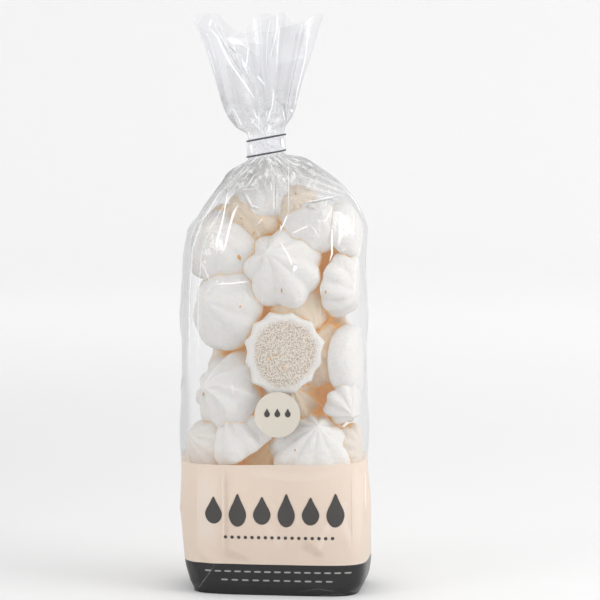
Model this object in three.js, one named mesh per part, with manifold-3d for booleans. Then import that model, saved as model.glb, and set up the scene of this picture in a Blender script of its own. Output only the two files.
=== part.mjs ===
// A sealed bag of piped meringue cookies, standing on its flat base.
//
// One clear film bag is filled with cookies, printed over its lower third, gathered at the neck
// with a flat tie that has a wire along each edge, and left open above it as a pleated frill.
// A filled bag is solid as far as it touches the rest of the world, so its clear part, its
// printed band and its dark foot are stacked solids, swollen where the cookies press outwards.
// The clear part is a core with the cookies that show through the film fused on.
//
// Millimetres, +Z up. The origin is the centre of the base, the bag's front faces -Y.
import * as THREE from 'three';
import { mergeVertices } from 'three/addons/utils/BufferGeometryUtils.js';
import Module from 'manifold-3d';

const wasm = await Module();
wasm.setup();

// ---- Driving dimensions ----------------------------------------------------------------------
const FOOT_TOP = 17.5; // top of the dark foot
const BAND_TOP = 72; // top of the printed band
const NECK_LOW = 236.6; // from here up the gathered neck is straight
const TIE_LOW = 237.5; // lower edge of the tie, measured along the bag
const TIE_HIGH = 247.1;
const FRILL_LOW = 303; // lowest and highest point of the frill's open edge
const FRILL_HIGH = 314;
const GAP = 0.3; // left between solids that touch
const NECK_TOP = (TIE_LOW + TIE_HIGH) / 2 - GAP / 2; // where the body ends inside the tie

const SPOT_X = 3.2; // the printed spot on the front
const SPOT_Z = 99.2;
const SPOT_RADIUS = 12.3;
const SPOT_THICKNESS = 0.5;
const SPOT_CARRIER = 1.5; // how far the flat film behind the spot reaches past its edge
const CARRIER_REACH = 35; // further out than the film, which cuts it off

const TIE_THICKNESS = 0.7;
const TIE_CLEARANCE = 0.3;
const WIRE_RADIUS = 0.5;
const BAND_SLOPE = 0.012; // the band's printed edge rises a little to the right
const TIE_SLOPE = Math.tan(THREE.MathUtils.degToRad(10.5)); // the tie sits askew on the neck
const SLOPE_FROM = 196; // the bag's rings lean with it from here
const SLOPE_TO = 300; // to here

const FILM_WALL = 1.5; // radial thickness of the frill's film
const FRILL_FLOOR = 251; // where the gathered film closes inside the frill
const FRILL_PLEATS = 9;
const ROWS_CROWD = 1.6; // over 1, the frill's rows lie closer together towards the neck
const SHOULDER_PLEATS = 12;

const BULGE_WIDTH = 13; // how wide a cookie swells the film, as the sigma of a bell curve
const BULGE_RISE = 2.1;

const TALLNESS = 1.3; // a cookie's height over its radius
const MID_HEIGHT = 0.2; // a cookie is placed by this share of its height on its axis
const RIDGES = 9; // piped ridges that run up a cookie's side
const RIDGE_DEPTH = 0.16; // depth of the valleys between them, as a share of the radius
const CLEAR_OF_FILM = 0.4;
const FACE_REACH = 0.85; // a cookie follows the film's face out to this share of the half width
const CORE_DEPTH = 17; // how far the core between the cookies lies inside the film, in y
const CORE_WIDTH = 3; // and in x
const CORE_EDGE = 20; // it is drawn in less where it is closer to the middle than this
const CORE_TO = 224; // above this height the film is full

// The bag's outline: height, centre in x, half width, half depth, squareness of the section.
const OUTLINE = [
  [0, 0, 45.4, 26.6, 5],
  [6, 0.4, 48, 28.6, 5],
  [17.5, -0.3, 50.2, 29.8, 4.6],
  [45, -1.6, 51, 30.4, 4.2],
  [71, -2.3, 49.4, 30.2, 4],
  [120, -2.5, 49, 29.6, 3.8],
  [180, -2.6, 47.9, 28.8, 3.4],
  [195, -0.9, 47.7, 27.6, 3],
  [206, 0.7, 43.3, 25.4, 2.6],
  [216, -1, 37.1, 21.6, 2.3],
  [226, -4.2, 27, 16.2, 2.1],
  [232.5, -6.2, 19.4, 12, 2],
  [NECK_LOW, -6.9, 9.7, 6.2, 2],
  [249.5, -6.9, 9.7, 6.2, 2],
  [255, -8.2, 14.5, 8.8, 2],
  [266, -10.3, 19, 11.4, 2],
  [279, -10.9, 22.4, 14, 2],
  [292, -11.1, 26, 16, 2],
  [304, -11.9, 29.7, 17.6, 2],
  [316, -13, 33.6, 18.6, 2],
];

// Where cookies press on the film: x or y across the face, and height.
const FRONT_PRESSED = [
  [9, 179], [-23, 187], [-21, 154], [8, 133], [-22, 112], [-16, 82], [29, 86],
  [39, 128], [38, 169], [25, 206], [-12, 206], [-12, 40], [24, 46], [-34, 58],
];
const BACK_PRESSED = [
  [-24, 60], [12, 64], [-2, 98], [34, 96], [-30, 104], [16, 134], [-20, 140],
  [36, 150], [-4, 172], [-32, 176], [22, 192], [-8, 206], [8, 34], [-34, 30],
];
const SIDE_PRESSED = [
  [-10, 52], [8, 88], [-8, 122], [10, 156], [-6, 186],
];

// ---- The skin of the bag ---------------------------------------------------------------------
const smooth = (from, to, value) => THREE.MathUtils.smoothstep(value, from, to);

// A smooth run through OUTLINE's stations that never overshoots them.
function outlineAt(height) {
  const last = OUTLINE.length - 2;
  let i = OUTLINE.findIndex((station) => station[0] > height) - 1;
  if (i < 0) i = height <= OUTLINE[0][0] ? 0 : last;
  const [low, high] = [OUTLINE[i], OUTLINE[i + 1]];
  const before = OUTLINE[Math.max(i - 1, 0)];
  const after = OUTLINE[Math.min(i + 2, last + 1)];
  const span = high[0] - low[0];
  const t = THREE.MathUtils.clamp((height - low[0]) / span, 0, 1);
  const slope = (p, q, r, k) => {
    const [d0, d1] = [(q[k] - p[k]) / (q[0] - p[0] || 1), (r[k] - q[k]) / (r[0] - q[0] || 1)];
    return d0 * d1 <= 0 ? 0 : (2 * d0 * d1) / (d0 + d1);
  };
  const value = (k) => {
    const [m0, m1] = [slope(before, low, high, k) * span, slope(low, high, after, k) * span];
    const [t2, t3] = [t * t, t * t * t];
    return (2 * t3 - 3 * t2 + 1) * low[k] + (t3 - 2 * t2 + t) * m0
      + (3 * t2 - 2 * t3) * high[k] + (t3 - t2) * m1;
  };
  return { centre: value(1), width: value(2), depth: value(3), square: value(4) };
}

// How far a list of cookies pushes the film out at a place on one face.
function bulge(cookies, across, height) {
  const swell = cookies.reduce((sum, [x, z]) => {
    const away = ((across - x) ** 2 + (height - z) ** 2) / (2 * BULGE_WIDTH ** 2);
    return sum + Math.exp(-away);
  }, 0);
  return BULGE_RISE * Math.min(swell, 1.4) * (1 - smooth(205, 225, height)) * smooth(4, 20, height);
}

// An uneven run of soft folds round the bag, from -1 to 1.
function folds(turn, count, shift) {
  const uneven = 0.9 * Math.sin(2 * turn + shift) + 0.6 * Math.sin(3 * turn - 2 * shift);
  return Math.asin(0.94 * Math.sin(count * turn + uneven)) / (Math.PI / 2);
}

function pleat(turn, height) {
  const gathered = smooth(196, 226, height) * (1 - smooth(231, 237, height));
  const open = smooth(249, 263, height) * (0.55 + 0.45 * smooth(262, 312, height));
  return 0.9 * gathered * folds(turn, SHOULDER_PLEATS, 0.7)
    + 4.6 * open * folds(turn, FRILL_PLEATS, 1.9);
}

// How much the ring at this height slopes up to the right.
function lean(height) {
  const band = smooth(FOOT_TOP, BAND_TOP, height) * (1 - smooth(BAND_TOP, SLOPE_FROM, height));
  const tie = smooth(SLOPE_FROM, TIE_LOW, height) * (1 - smooth(TIE_HIGH, SLOPE_TO, height));
  return BAND_SLOPE * band + TIE_SLOPE * tie;
}

// The point on the bag's skin at an angle round it and a height along it, moved outwards by
// `out` millimetres.
function skin(turn, height, out = 0) {
  const { centre, width, depth, square } = outlineAt(height);
  const [c, s] = [Math.cos(turn), Math.sin(turn)];
  const fill = (Math.abs(c) ** square + Math.abs(s) ** square) ** (-1 / square);
  const more = out + pleat(turn, height);
  const x = (width * fill + more) * c;
  const y = (depth * fill + more) * s;
  const face = bulge(s < 0 ? FRONT_PRESSED : BACK_PRESSED, x, height) * smooth(0, 0.75, Math.abs(s));
  const side = bulge(SIDE_PRESSED, c < 0 ? -y : y, height) * smooth(0.5, 1, Math.abs(c));
  return new THREE.Vector3(
    centre + x + Math.sign(c) * side,
    y + Math.sign(s) * face,
    height + lean(height) * x,
  );
}

// How far the front's or back's skin lies from the bag's middle plane at a place on it. `facing`
// is -1 for the front and 1 for the back.
function faceOfSkin(x, height, facing) {
  const { centre, width, depth, square } = outlineAt(height);
  const share = Math.min(Math.abs((x - centre) / width), FACE_REACH);
  const pressed = facing < 0 ? FRONT_PRESSED : BACK_PRESSED;
  return depth * (1 - share ** square) ** (1 / square) + bulge(pressed, x - centre, height);
}

// ---- Geometry --------------------------------------------------------------------------------
// Merges a geometry's vertices and moves each one to where `place` says.
function shaped(geometry, place) {
  geometry.deleteAttribute('normal');
  geometry.deleteAttribute('uv');
  const merged = mergeVertices(geometry, 1e-4);
  const at = merged.getAttribute('position');
  for (let i = 0; i < at.count; i += 1) {
    const to = place(new THREE.Vector3().fromBufferAttribute(at, i));
    at.setXYZ(i, to.x, to.y, to.z);
  }
  merged.computeVertexNormals();
  return merged;
}

// A cylinder standing on z = 0 with unit radius and height, as the blank of a stretch of bag.
function blank(columns, rows) {
  const geometry = new THREE.CylinderGeometry(1, 1, 1, columns, rows);
  return geometry.rotateX(Math.PI / 2).translate(0, 0, 0.5);
}

// Equal steps from a low height to a high one.
function steps(low, high, rows) {
  return Array.from({ length: rows + 1 }, (_, i) => THREE.MathUtils.lerp(low, high, i / rows));
}

// A solid stretch of the bag with a ring at each of `heights`.
function stretchOfBag(heights, columns, surface = skin) {
  const rows = heights.length - 1;
  return shaped(blank(columns, rows), ({ x, y, z }) => {
    const height = heights[Math.round(z * rows)];
    if (Math.hypot(x, y) > 0.5) return surface(Math.atan2(y, x), height);
    const { centre } = outlineAt(height);
    return new THREE.Vector3(centre, 0, height);
  });
}

// The frill is a deep pleated cup: its outer and inner skins are a wall apart, and its open edge
// rises and falls with the pleats.
function frillGeometry(columns, rows) {
  const [low, floor] = [(TIE_LOW + TIE_HIGH) / 2 + GAP / 2, FRILL_FLOOR];
  const shares = Array.from({ length: rows + 1 }, (_, i) => (i / rows) ** ROWS_CROWD);
  const profile = [
    new THREE.Vector2(0, 0),
    ...shares.map((share) => new THREE.Vector2(2, share)),
    ...shares.reverse().map((share) => new THREE.Vector2(1, share)),
    new THREE.Vector2(0, 0.001),
  ];
  const turned = new THREE.LatheGeometry(profile, columns).rotateX(Math.PI / 2);
  return shaped(turned, ({ x, y, z }) => {
    const [turn, ring] = [Math.atan2(y, x), Math.hypot(x, y)];
    const rim = THREE.MathUtils.lerp(FRILL_LOW, FRILL_HIGH, 0.5 + 0.5 * Math.sin(5 * turn + 0.6));
    if (ring > 1.5) return skin(turn, low + (rim - low) * z);
    if (ring > 0.5) return skin(turn, floor + (rim - floor) * z, -FILM_WALL);
    const { centre } = outlineAt(low);
    return new THREE.Vector3(centre, 0, z === 0 ? low : floor);
  });
}

// What circles the neck is made round a circle of this radius, then drawn to the neck's oval.
const ROUND = 10;

function roundTheNeck(geometry) {
  const { centre, width, depth } = outlineAt(TIE_LOW);
  return shaped(geometry, ({ x, y, z }) => {
    const [turn, out] = [Math.atan2(y, x), Math.hypot(x, y) - ROUND];
    const across = (width + out) * Math.cos(turn);
    return new THREE.Vector3(centre + across, (depth + out) * Math.sin(turn), z + TIE_SLOPE * across);
  });
}

function tieBandGeometry() {
  const [inner, outer] = [ROUND + TIE_CLEARANCE, ROUND + TIE_CLEARANCE + TIE_THICKNESS];
  const [low, high] = [TIE_LOW + 2 * WIRE_RADIUS + GAP, TIE_HIGH - 2 * WIRE_RADIUS - GAP];
  const corners = [[inner, low], [outer, low], [outer, high], [inner, high], [inner, low]];
  const profile = corners.map(([radius, z]) => new THREE.Vector2(radius, z));
  return roundTheNeck(new THREE.LatheGeometry(profile, 36).rotateX(Math.PI / 2));
}

function wireGeometry(height) {
  const middle = ROUND + TIE_CLEARANCE + WIRE_RADIUS;
  return roundTheNeck(new THREE.TorusGeometry(middle, WIRE_RADIUS, 6, 36).translate(0, 0, height));
}

function spotGeometry() {
  const disc = new THREE.CylinderGeometry(SPOT_RADIUS, SPOT_RADIUS, 1, 40, 1);
  return shaped(disc.translate(0, 0.5, 0), ({ x, y, z }) => {
    const height = SPOT_Z + z;
    const back = -faceOfSkin(SPOT_X + x, height, -1) - GAP;
    return new THREE.Vector3(SPOT_X + x, back - SPOT_THICKNESS * (1 - y), height);
  });
}

// ---- The cookies in the clear part -----------------------------------------------------------
// Against the front: x and height of the middle, the way the tip points (right, up, towards the
// viewer), radius, and how far behind the film.
const FRONT_COOKIES = [
  [4.2, 176.8, [-0.16, 0.42, 0.9], 22, 0], [-30, 187, [-0.35, 0.5, 0.78], 22.3, 2],
  [-26.8, 154, [-0.55, 0.2, 0.8], 22.6, 0], [5, 131.5, [-0.26, -0.05, -0.96], 21.6, 0],
  [-25.5, 109, [-0.62, 0.34, 0.7], 21.2, 1], [-19, 76.5, [-0.55, 0.75, 0.35], 20.5, 0.5],
  [19.5, 78.5, [-0.1, 0.45, 0.88], 22, 0], [41, 126, [0.93, 0.05, 0.35], 20.5, 3],
  [36, 168, [0.9, -0.15, 0.4], 17.5, 3], [20, 199.5, [0.2, 0.5, 0.8], 16.5, 3],
  [39, 197, [0.8, 0.3, 0.5], 16, 3], [-8, 217, [-0.1, 0.6, 0.7], 15.5, 0],
  [39, 104.5, [0.5, -0.4, 0.7], 12.5, 3], [-38, 84, [-0.6, 0.3, 0.6], 15, 6],
];
// Against the back they stand in two uneven columns.
const BACK_ROWS = 4;
const BACK_LOW = 92;
const BACK_PITCH = 36;
const BACK_RADIUS = 20.5;
const BACK_COOKIES = Array.from({ length: 2 * BACK_ROWS }, (_, i) => {
  const [row, side] = [Math.floor(i / 2), i % 2 ? 1 : -1];
  const tip = [side * 0.3, 0.4 * Math.cos(2 * i), 0.85];
  return [side * 23 - 2, BACK_LOW + BACK_PITCH * row + 8 * side, tip, BACK_RADIUS, 0];
});

// Height and radius along a cookie's side, from its base to its tip, as shares of its own.
const SIDE_PROFILE = [[0, 0.9], [0.14, 1], [0.36, 0.93], [0.6, 0.66], [0.82, 0.32], [1, 0]];

// A cookie standing on its base, placed by its middle. Every other upright edge is a ridge.
function cookieGeometry(radius) {
  const profile = SIDE_PROFILE.map(([up, out]) => new THREE.Vector2(radius * out, radius * TALLNESS * up));
  profile.unshift(new THREE.Vector2(0, 0));
  const round = new THREE.LatheGeometry(profile, 2 * RIDGES).rotateX(Math.PI / 2);
  return shaped(round, ({ x, y, z }) => {
    const edge = Math.round((Math.atan2(y, x) / Math.PI) * RIDGES);
    const inwards = edge % 2 === 0 ? 1 : 1 - RIDGE_DEPTH;
    return new THREE.Vector3(x * inwards, y * inwards, z - MID_HEIGHT * TALLNESS * radius);
  });
}

// Turns a cookie's tip the way it points and moves it till it lies against the film. `facing` is
// -1 at the front and 1 at the back.
function pressedCookie([x, z, [right, up, towards], radius, behind], facing) {
  const geometry = cookieGeometry(radius);
  const tip = new THREE.Vector3(right, facing * towards, up).normalize();
  geometry.applyQuaternion(new THREE.Quaternion().setFromUnitVectors(new THREE.Vector3(0, 0, 1), tip));
  const at = geometry.getAttribute('position');
  const room = Array.from({ length: at.count }, (_, i) => (
    faceOfSkin(x + at.getX(i), z + at.getZ(i), facing) - CLEAR_OF_FILM - facing * at.getY(i)
  ));
  return geometry.translate(x, facing * (Math.min(...room) - behind), z);
}

// The bag's skin drawn in, to be the core that the cookies are fused to.
function coreSkin(turn, height) {
  const point = skin(turn, height);
  const open = smooth(BAND_TOP, BAND_TOP + 5, height) * (1 - smooth(CORE_TO - 24, CORE_TO, height));
  point.x -= open * CORE_WIDTH * THREE.MathUtils.clamp(point.x / CORE_EDGE, -1, 1);
  point.y -= open * CORE_DEPTH * THREE.MathUtils.clamp(point.y / CORE_EDGE, -1, 1);
  return point;
}

// A closed geometry as a solid that can be joined and cut.
function solid(geometry) {
  const at = geometry.getAttribute('position');
  const corners = geometry.getIndex().array;
  const kept = [];
  for (let i = 0; i < corners.length; i += 3) {
    const [a, b, c] = corners.slice(i, i + 3);
    if (a !== b && b !== c && c !== a) kept.push(a, b, c);
  }
  const mesh = { numProp: 3, vertProperties: new Float32Array(at.array), triVerts: new Uint32Array(kept) };
  return new wasm.Manifold(new wasm.Mesh(mesh));
}

function geometryOf(body) {
  const { vertProperties, triVerts } = body.getMesh();
  const geometry = new THREE.BufferGeometry();
  geometry.setAttribute('position', new THREE.BufferAttribute(vertProperties, 3));
  geometry.setIndex(new THREE.BufferAttribute(triVerts, 1));
  geometry.computeVertexNormals();
  return geometry;
}

// The clear part: the core, the cookies, and the flat film that carries the spot.
function clearPartGeometry() {
  const rings = [...steps(BAND_TOP + GAP / 2, NECK_LOW, 17), NECK_TOP];
  const columns = 64;
  const skinSolid = solid(stretchOfBag(rings, columns));
  const carrier = SPOT_RADIUS + SPOT_CARRIER;
  const behindSpot = new THREE.CylinderGeometry(carrier, carrier, 2 * CARRIER_REACH, 24);
  const front = FRONT_COOKIES.map((cookie) => pressedCookie(cookie, -1));
  const back = BACK_COOKIES.map((cookie) => pressedCookie(cookie, 1));
  const parts = [
    stretchOfBag(rings, columns, coreSkin),
    shaped(behindSpot.translate(SPOT_X, -CARRIER_REACH, SPOT_Z), (point) => point),
    ...front,
    ...back,
  ].map(solid);
  const joined = parts.reduce((sum, part) => sum.add(part));
  return geometryOf(joined.intersect(skinSolid));
}

// ---- The object ------------------------------------------------------------------------------
const MATERIALS = {
  clearFilm: new THREE.MeshStandardMaterial({ color: '#eeece8', roughness: 0.25, metalness: 0 }),
  creamPrint: new THREE.MeshStandardMaterial({ color: '#e0cfbf', roughness: 0.35, metalness: 0 }),
  darkPrint: new THREE.MeshStandardMaterial({ color: '#2e2d2e', roughness: 0.35, metalness: 0 }),
  spotPrint: new THREE.MeshStandardMaterial({ color: '#dcd5c9', roughness: 0.4, metalness: 0 }),
  tieFilm: new THREE.MeshStandardMaterial({ color: '#dedee2', roughness: 0.3, metalness: 0 }),
  tieWire: new THREE.MeshStandardMaterial({ color: '#43464c', roughness: 0.45, metalness: 0.6 }),
};

const bag = new THREE.Group();

function add(name, geometry, material) {
  const mesh = new THREE.Mesh(geometry, material);
  mesh.name = name;
  bag.add(mesh);
}

add('bag_foot', stretchOfBag(steps(0, FOOT_TOP - GAP / 2, 4), 60), MATERIALS.darkPrint);
add('bag_band', stretchOfBag(steps(FOOT_TOP + GAP / 2, BAND_TOP - GAP / 2, 6), 60), MATERIALS.creamPrint);
add('bag_body', clearPartGeometry(), MATERIALS.clearFilm);
add('bag_frill', frillGeometry(72, 8), MATERIALS.clearFilm);
add('tie_band', tieBandGeometry(), MATERIALS.tieFilm);
add('tie_wire_lower', wireGeometry(TIE_LOW + WIRE_RADIUS), MATERIALS.tieWire);
add('tie_wire_upper', wireGeometry(TIE_HIGH - WIRE_RADIUS), MATERIALS.tieWire);
add('spot', spotGeometry(), MATERIALS.spotPrint);

export default bag;
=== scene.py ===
"""A sealed clear bag of piped meringue cookies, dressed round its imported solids.

The film, the cookies in it, the print and the tie are meshes worked out from named sizes in
millimetres. One function, skin(), gives the bag's surface, as the solids have it. Cookies are
set inside that surface, and the film, the print and the spot lie on it.
"""

import math

import bpy
import numpy as np
from mathutils import Matrix, Vector
from mathutils.bvhtree import BVHTree


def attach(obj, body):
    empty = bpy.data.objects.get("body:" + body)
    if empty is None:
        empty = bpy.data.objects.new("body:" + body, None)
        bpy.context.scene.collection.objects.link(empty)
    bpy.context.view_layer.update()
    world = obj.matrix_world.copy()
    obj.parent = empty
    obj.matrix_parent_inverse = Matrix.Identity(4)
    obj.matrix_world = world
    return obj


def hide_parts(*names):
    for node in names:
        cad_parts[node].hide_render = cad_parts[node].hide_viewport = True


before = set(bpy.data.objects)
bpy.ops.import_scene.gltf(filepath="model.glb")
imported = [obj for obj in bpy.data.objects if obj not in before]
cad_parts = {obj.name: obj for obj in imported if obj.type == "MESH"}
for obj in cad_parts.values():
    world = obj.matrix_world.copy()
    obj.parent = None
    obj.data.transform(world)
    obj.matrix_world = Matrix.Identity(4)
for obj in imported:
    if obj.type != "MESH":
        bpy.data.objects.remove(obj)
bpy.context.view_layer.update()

MM = 0.001
SEED = 7

# ---- The bag's sizes, as the solids have them ------------------------------------------------
FOOT_TOP = 17.5
BAND_TOP = 72.0
TIE_LOW = 237.5
TIE_HIGH = 247.1
FRILL_LOW = 303.0
FRILL_HIGH = 314.0
GAP = 0.3
SPOT_X, SPOT_Z, SPOT_RADIUS = 3.2, 99.2, 12.3
BAND_SLOPE = 0.012
TIE_SLOPE = math.tan(math.radians(10.5))
SLOPE_FROM, SLOPE_TO = 196.0, 300.0
FRILL_PLEATS = 9
SHOULDER_PLEATS = 12
BULGE_WIDTH = 13.0
BULGE_RISE = 2.1
FACE_REACH = 0.85  # a cookie follows the film's face out to this share of the half width

# The camera, that looks at the bag's middle from in front.
VIEW_AZIMUTH, VIEW_ELEVATION = 7.0, 5.4
VIEW_DISTANCE = 1.5
VIEW_TARGET = Vector((0.0116, 0.0, 0.1583))
VIEW_LENS = 165.06
VIEW_SENSOR = 36.0
FRAME_PIXELS = 600

# Height, centre in x, half width, half depth, squareness of the section.
OUTLINE = np.array([
    (0, 0, 45.4, 26.6, 5),
    (6, 0.4, 48, 28.6, 5),
    (17.5, -0.3, 50.2, 29.8, 4.6),
    (45, -1.6, 51, 30.4, 4.2),
    (71, -2.3, 49.4, 30.2, 4),
    (120, -2.5, 49, 29.6, 3.8),
    (180, -2.6, 47.9, 28.8, 3.4),
    (195, -0.9, 47.7, 27.6, 3),
    (206, 0.7, 43.3, 25.4, 2.6),
    (216, -1, 37.1, 21.6, 2.3),
    (226, -4.2, 27, 16.2, 2.1),
    (232.5, -6.2, 19.4, 12, 2),
    (236.6, -6.9, 9.7, 6.2, 2),
    (249.5, -6.9, 9.7, 6.2, 2),
    (255, -8.2, 14.5, 8.8, 2),
    (266, -10.3, 19, 11.4, 2),
    (279, -10.9, 22.4, 14, 2),
    (292, -11.1, 26, 16, 2),
    (304, -11.9, 29.7, 17.6, 2),
    (316, -13, 33.6, 18.6, 2),
])

# Where cookies press on the film: x or y across the face, and height.
FRONT_PRESSED = (
    (9, 179), (-23, 187), (-21, 154), (8, 133), (-22, 112), (-16, 82), (29, 86),
    (39, 128), (38, 169), (25, 206), (-12, 206), (-12, 40), (24, 46), (-34, 58),
)
BACK_PRESSED = (
    (-24, 60), (12, 64), (-2, 98), (34, 96), (-30, 104), (16, 134), (-20, 140),
    (36, 150), (-4, 172), (-32, 176), (22, 192), (-8, 206), (8, 34), (-34, 30),
)
SIDE_PRESSED = ((-10, 52), (8, 88), (-8, 122), (10, 156), (-6, 186))


# ---- The bag's skin --------------------------------------------------------------------------
def smooth(low, high, value):
    t = np.clip((value - low) / (high - low), 0.0, 1.0)
    return t * t * (3 - 2 * t)


def station_slopes():
    """The outline's slope at each station: the harmonic mean of its neighbours, so it never overshoots."""
    steps = np.diff(OUTLINE[:, 1:], axis=0) / np.diff(OUTLINE[:, 0])[:, None]
    before, after = steps[:-1], steps[1:]
    total = np.where(before + after == 0, 1.0, before + after)
    slopes = np.zeros_like(OUTLINE[:, 1:])
    slopes[1:-1] = np.where(before * after <= 0, 0.0, 2 * before * after / total)
    return slopes


STATION_SLOPES = station_slopes()


def outline_at(height):
    """Centre, half width, half depth and squareness of the bag's section at each height."""
    height = np.asarray(height, float)
    i = np.clip(np.searchsorted(OUTLINE[:, 0], height, side="right") - 1, 0, len(OUTLINE) - 2)
    span = (OUTLINE[i + 1, 0] - OUTLINE[i, 0])[..., None]
    t = np.clip((height[..., None] - OUTLINE[i, 0][..., None]) / span, 0, 1)
    low, high = OUTLINE[i, 1:], OUTLINE[i + 1, 1:]
    leave, arrive = STATION_SLOPES[i] * span, STATION_SLOPES[i + 1] * span
    value = ((2 * t**3 - 3 * t**2 + 1) * low + (t**3 - 2 * t**2 + t) * leave
             + (3 * t**2 - 2 * t**3) * high + (t**3 - t**2) * arrive)
    return value[..., 0], value[..., 1], value[..., 2], value[..., 3]


def bulge(pressed, across, height):
    swell = sum(
        np.exp(-((across - x) ** 2 + (height - z) ** 2) / (2 * BULGE_WIDTH**2)) for x, z in pressed
    )
    fade = (1 - smooth(205, 225, height)) * smooth(4, 20, height)
    return BULGE_RISE * np.minimum(swell, 1.4) * fade


def folds(turn, count, shift):
    """An uneven run of soft folds round the bag, from -1 to 1."""
    uneven = 0.9 * np.sin(2 * turn + shift) + 0.6 * np.sin(3 * turn - 2 * shift)
    return np.arcsin(0.94 * np.sin(count * turn + uneven)) / (math.pi / 2)


def pleat(turn, height):
    gathered = smooth(196, 226, height) * (1 - smooth(231, 237, height))
    opened = smooth(249, 263, height) * (0.55 + 0.45 * smooth(262, 312, height))
    return (0.9 * gathered * folds(turn, SHOULDER_PLEATS, 0.7)
            + 4.6 * opened * folds(turn, FRILL_PLEATS, 1.9))


def lean(height):
    band = smooth(FOOT_TOP, BAND_TOP, height) * (1 - smooth(BAND_TOP, SLOPE_FROM, height))
    tie = smooth(SLOPE_FROM, TIE_LOW, height) * (1 - smooth(TIE_HIGH, SLOPE_TO, height))
    return BAND_SLOPE * band + TIE_SLOPE * tie


def skin(turn, height, out=0.0):
    """Points on the bag's surface at angles round it and heights along it, moved outwards."""
    turn, height = np.broadcast_arrays(np.asarray(turn, float), np.asarray(height, float))
    centre, width, depth, square = outline_at(height)
    c, s = np.cos(turn), np.sin(turn)
    fill = (np.abs(c) ** square + np.abs(s) ** square) ** (-1 / square)
    more = out + pleat(turn, height)
    x = (width * fill + more) * c
    y = (depth * fill + more) * s
    face = np.where(s < 0, bulge(FRONT_PRESSED, x, height), bulge(BACK_PRESSED, x, height))
    side = bulge(SIDE_PRESSED, np.where(c < 0, -y, y), height) * smooth(0.5, 1, np.abs(c))
    return np.stack([
        centre + x + np.sign(c) * side,
        y + np.sign(s) * face * smooth(0, 0.75, np.abs(s)),
        height + lean(height) * x,
    ], axis=-1)


def face_of_skin(x, height, facing):
    """How far the front's (facing -1) or back's (facing 1) skin lies from the middle plane."""
    centre, width, depth, square = outline_at(height)
    share = np.minimum(np.abs((x - centre) / width), FACE_REACH)
    pressed = FRONT_PRESSED if facing < 0 else BACK_PRESSED
    return depth * (1 - share**square) ** (1 / square) + bulge(pressed, x - centre, height)


# ---- Meshes ----------------------------------------------------------------------------------
def add_shades(mesh, shades):
    """Named values on a mesh's points, for its material to read."""
    for key, values in shades.items():
        layer = mesh.attributes.new(key, "FLOAT", "POINT")
        layer.data.foreach_set("value", np.asarray(values, np.float32).ravel())


def make_mesh(name, points, faces, material, shades=None):
    """A smooth mesh object from points in millimetres, with its shades."""
    mesh = bpy.data.meshes.new(name)
    mesh.from_pydata((np.asarray(points) * MM).tolist(), [], [tuple(map(int, f)) for f in faces])
    add_shades(mesh, shades or {})
    mesh.polygons.foreach_set("use_smooth", [True] * len(mesh.polygons))
    mesh.materials.append(material)
    mesh.update()
    piece = bpy.data.objects.new(name, mesh)
    bpy.context.scene.collection.objects.link(piece)
    return piece


def ring_faces(columns, rows, first=0):
    """Quads of a grid that closes on itself across its columns."""
    i = np.arange(columns)[None, :]
    j = np.arange(rows - 1)[:, None]
    a = first + j * columns + i
    b = first + j * columns + (i + 1) % columns
    return np.stack([a, b, b + columns, a + columns], axis=-1).reshape(-1, 4)


def own(piece, slot, *nodes):
    """A piece of the bag: it rides on the bag's body and may stand for nodes; its slot is not used."""
    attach(piece, "root")
    if nodes:
        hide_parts(*nodes)
    return piece


# ---- Materials -------------------------------------------------------------------------------
class Shader:
    """One material's nodes, added and joined in short calls."""

    def __init__(self, name):
        self.material = bpy.data.materials.new(name)
        self.material.use_nodes = True
        self.tree = self.material.node_tree
        self.tree.nodes.clear()
        self.out = self.tree.nodes.new("ShaderNodeOutputMaterial")

    def add(self, kind, inputs=None, **settings):
        node = self.tree.nodes.new("ShaderNode" + kind)
        for key, value in settings.items():
            setattr(node, key, value)
        for key, value in (inputs or {}).items():
            if isinstance(value, bpy.types.NodeSocket):
                self.tree.links.new(value, node.inputs[key])
            else:
                node.inputs[key].default_value = value
        return node

    def math(self, operation, *values):
        return self.add("Math", dict(enumerate(values)), operation=operation).outputs[0]

    def blend(self, share, low, high):
        """A colour between two, by a share from 0 to 1."""
        node = self.add("Mix", {0: share, 6: low, 7: high}, data_type="RGBA")
        return node.outputs[2]

    def attribute(self, name):
        return self.add("Attribute", attribute_name=name).outputs["Fac"]

    def place(self):
        return self.add("TexCoord").outputs["Object"]

    def noise(self, scale, detail=3.0, rough=0.55, **more):
        inputs = {"Vector": self.place(), "Scale": scale, "Detail": detail, "Roughness": rough, **more}
        return self.add("TexNoise", inputs).outputs["Fac"]

    def ramp(self, value, low, high):
        """0 under low, 1 over high, smooth between."""
        node = self.add("MapRange", {"Value": value, "From Min": low, "From Max": high},
                        interpolation_type="SMOOTHSTEP")
        return node.outputs[0]

    def bump(self, height, distance, normal=None):
        inputs = {"Height": height, "Distance": distance}
        if normal is not None:
            inputs["Normal"] = normal
        return self.add("Bump", inputs).outputs[0]

    def finish(self, surface):
        self.tree.links.new(surface.outputs[0], self.out.inputs["Surface"])
        return self.material


PRINT_GRAIN, PRINT_WAVES = 0.00008, 0.00024  # how high the print's fine and coarse unevenness is


def grey(value):
    return (value, value, value, 1.0)


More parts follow.
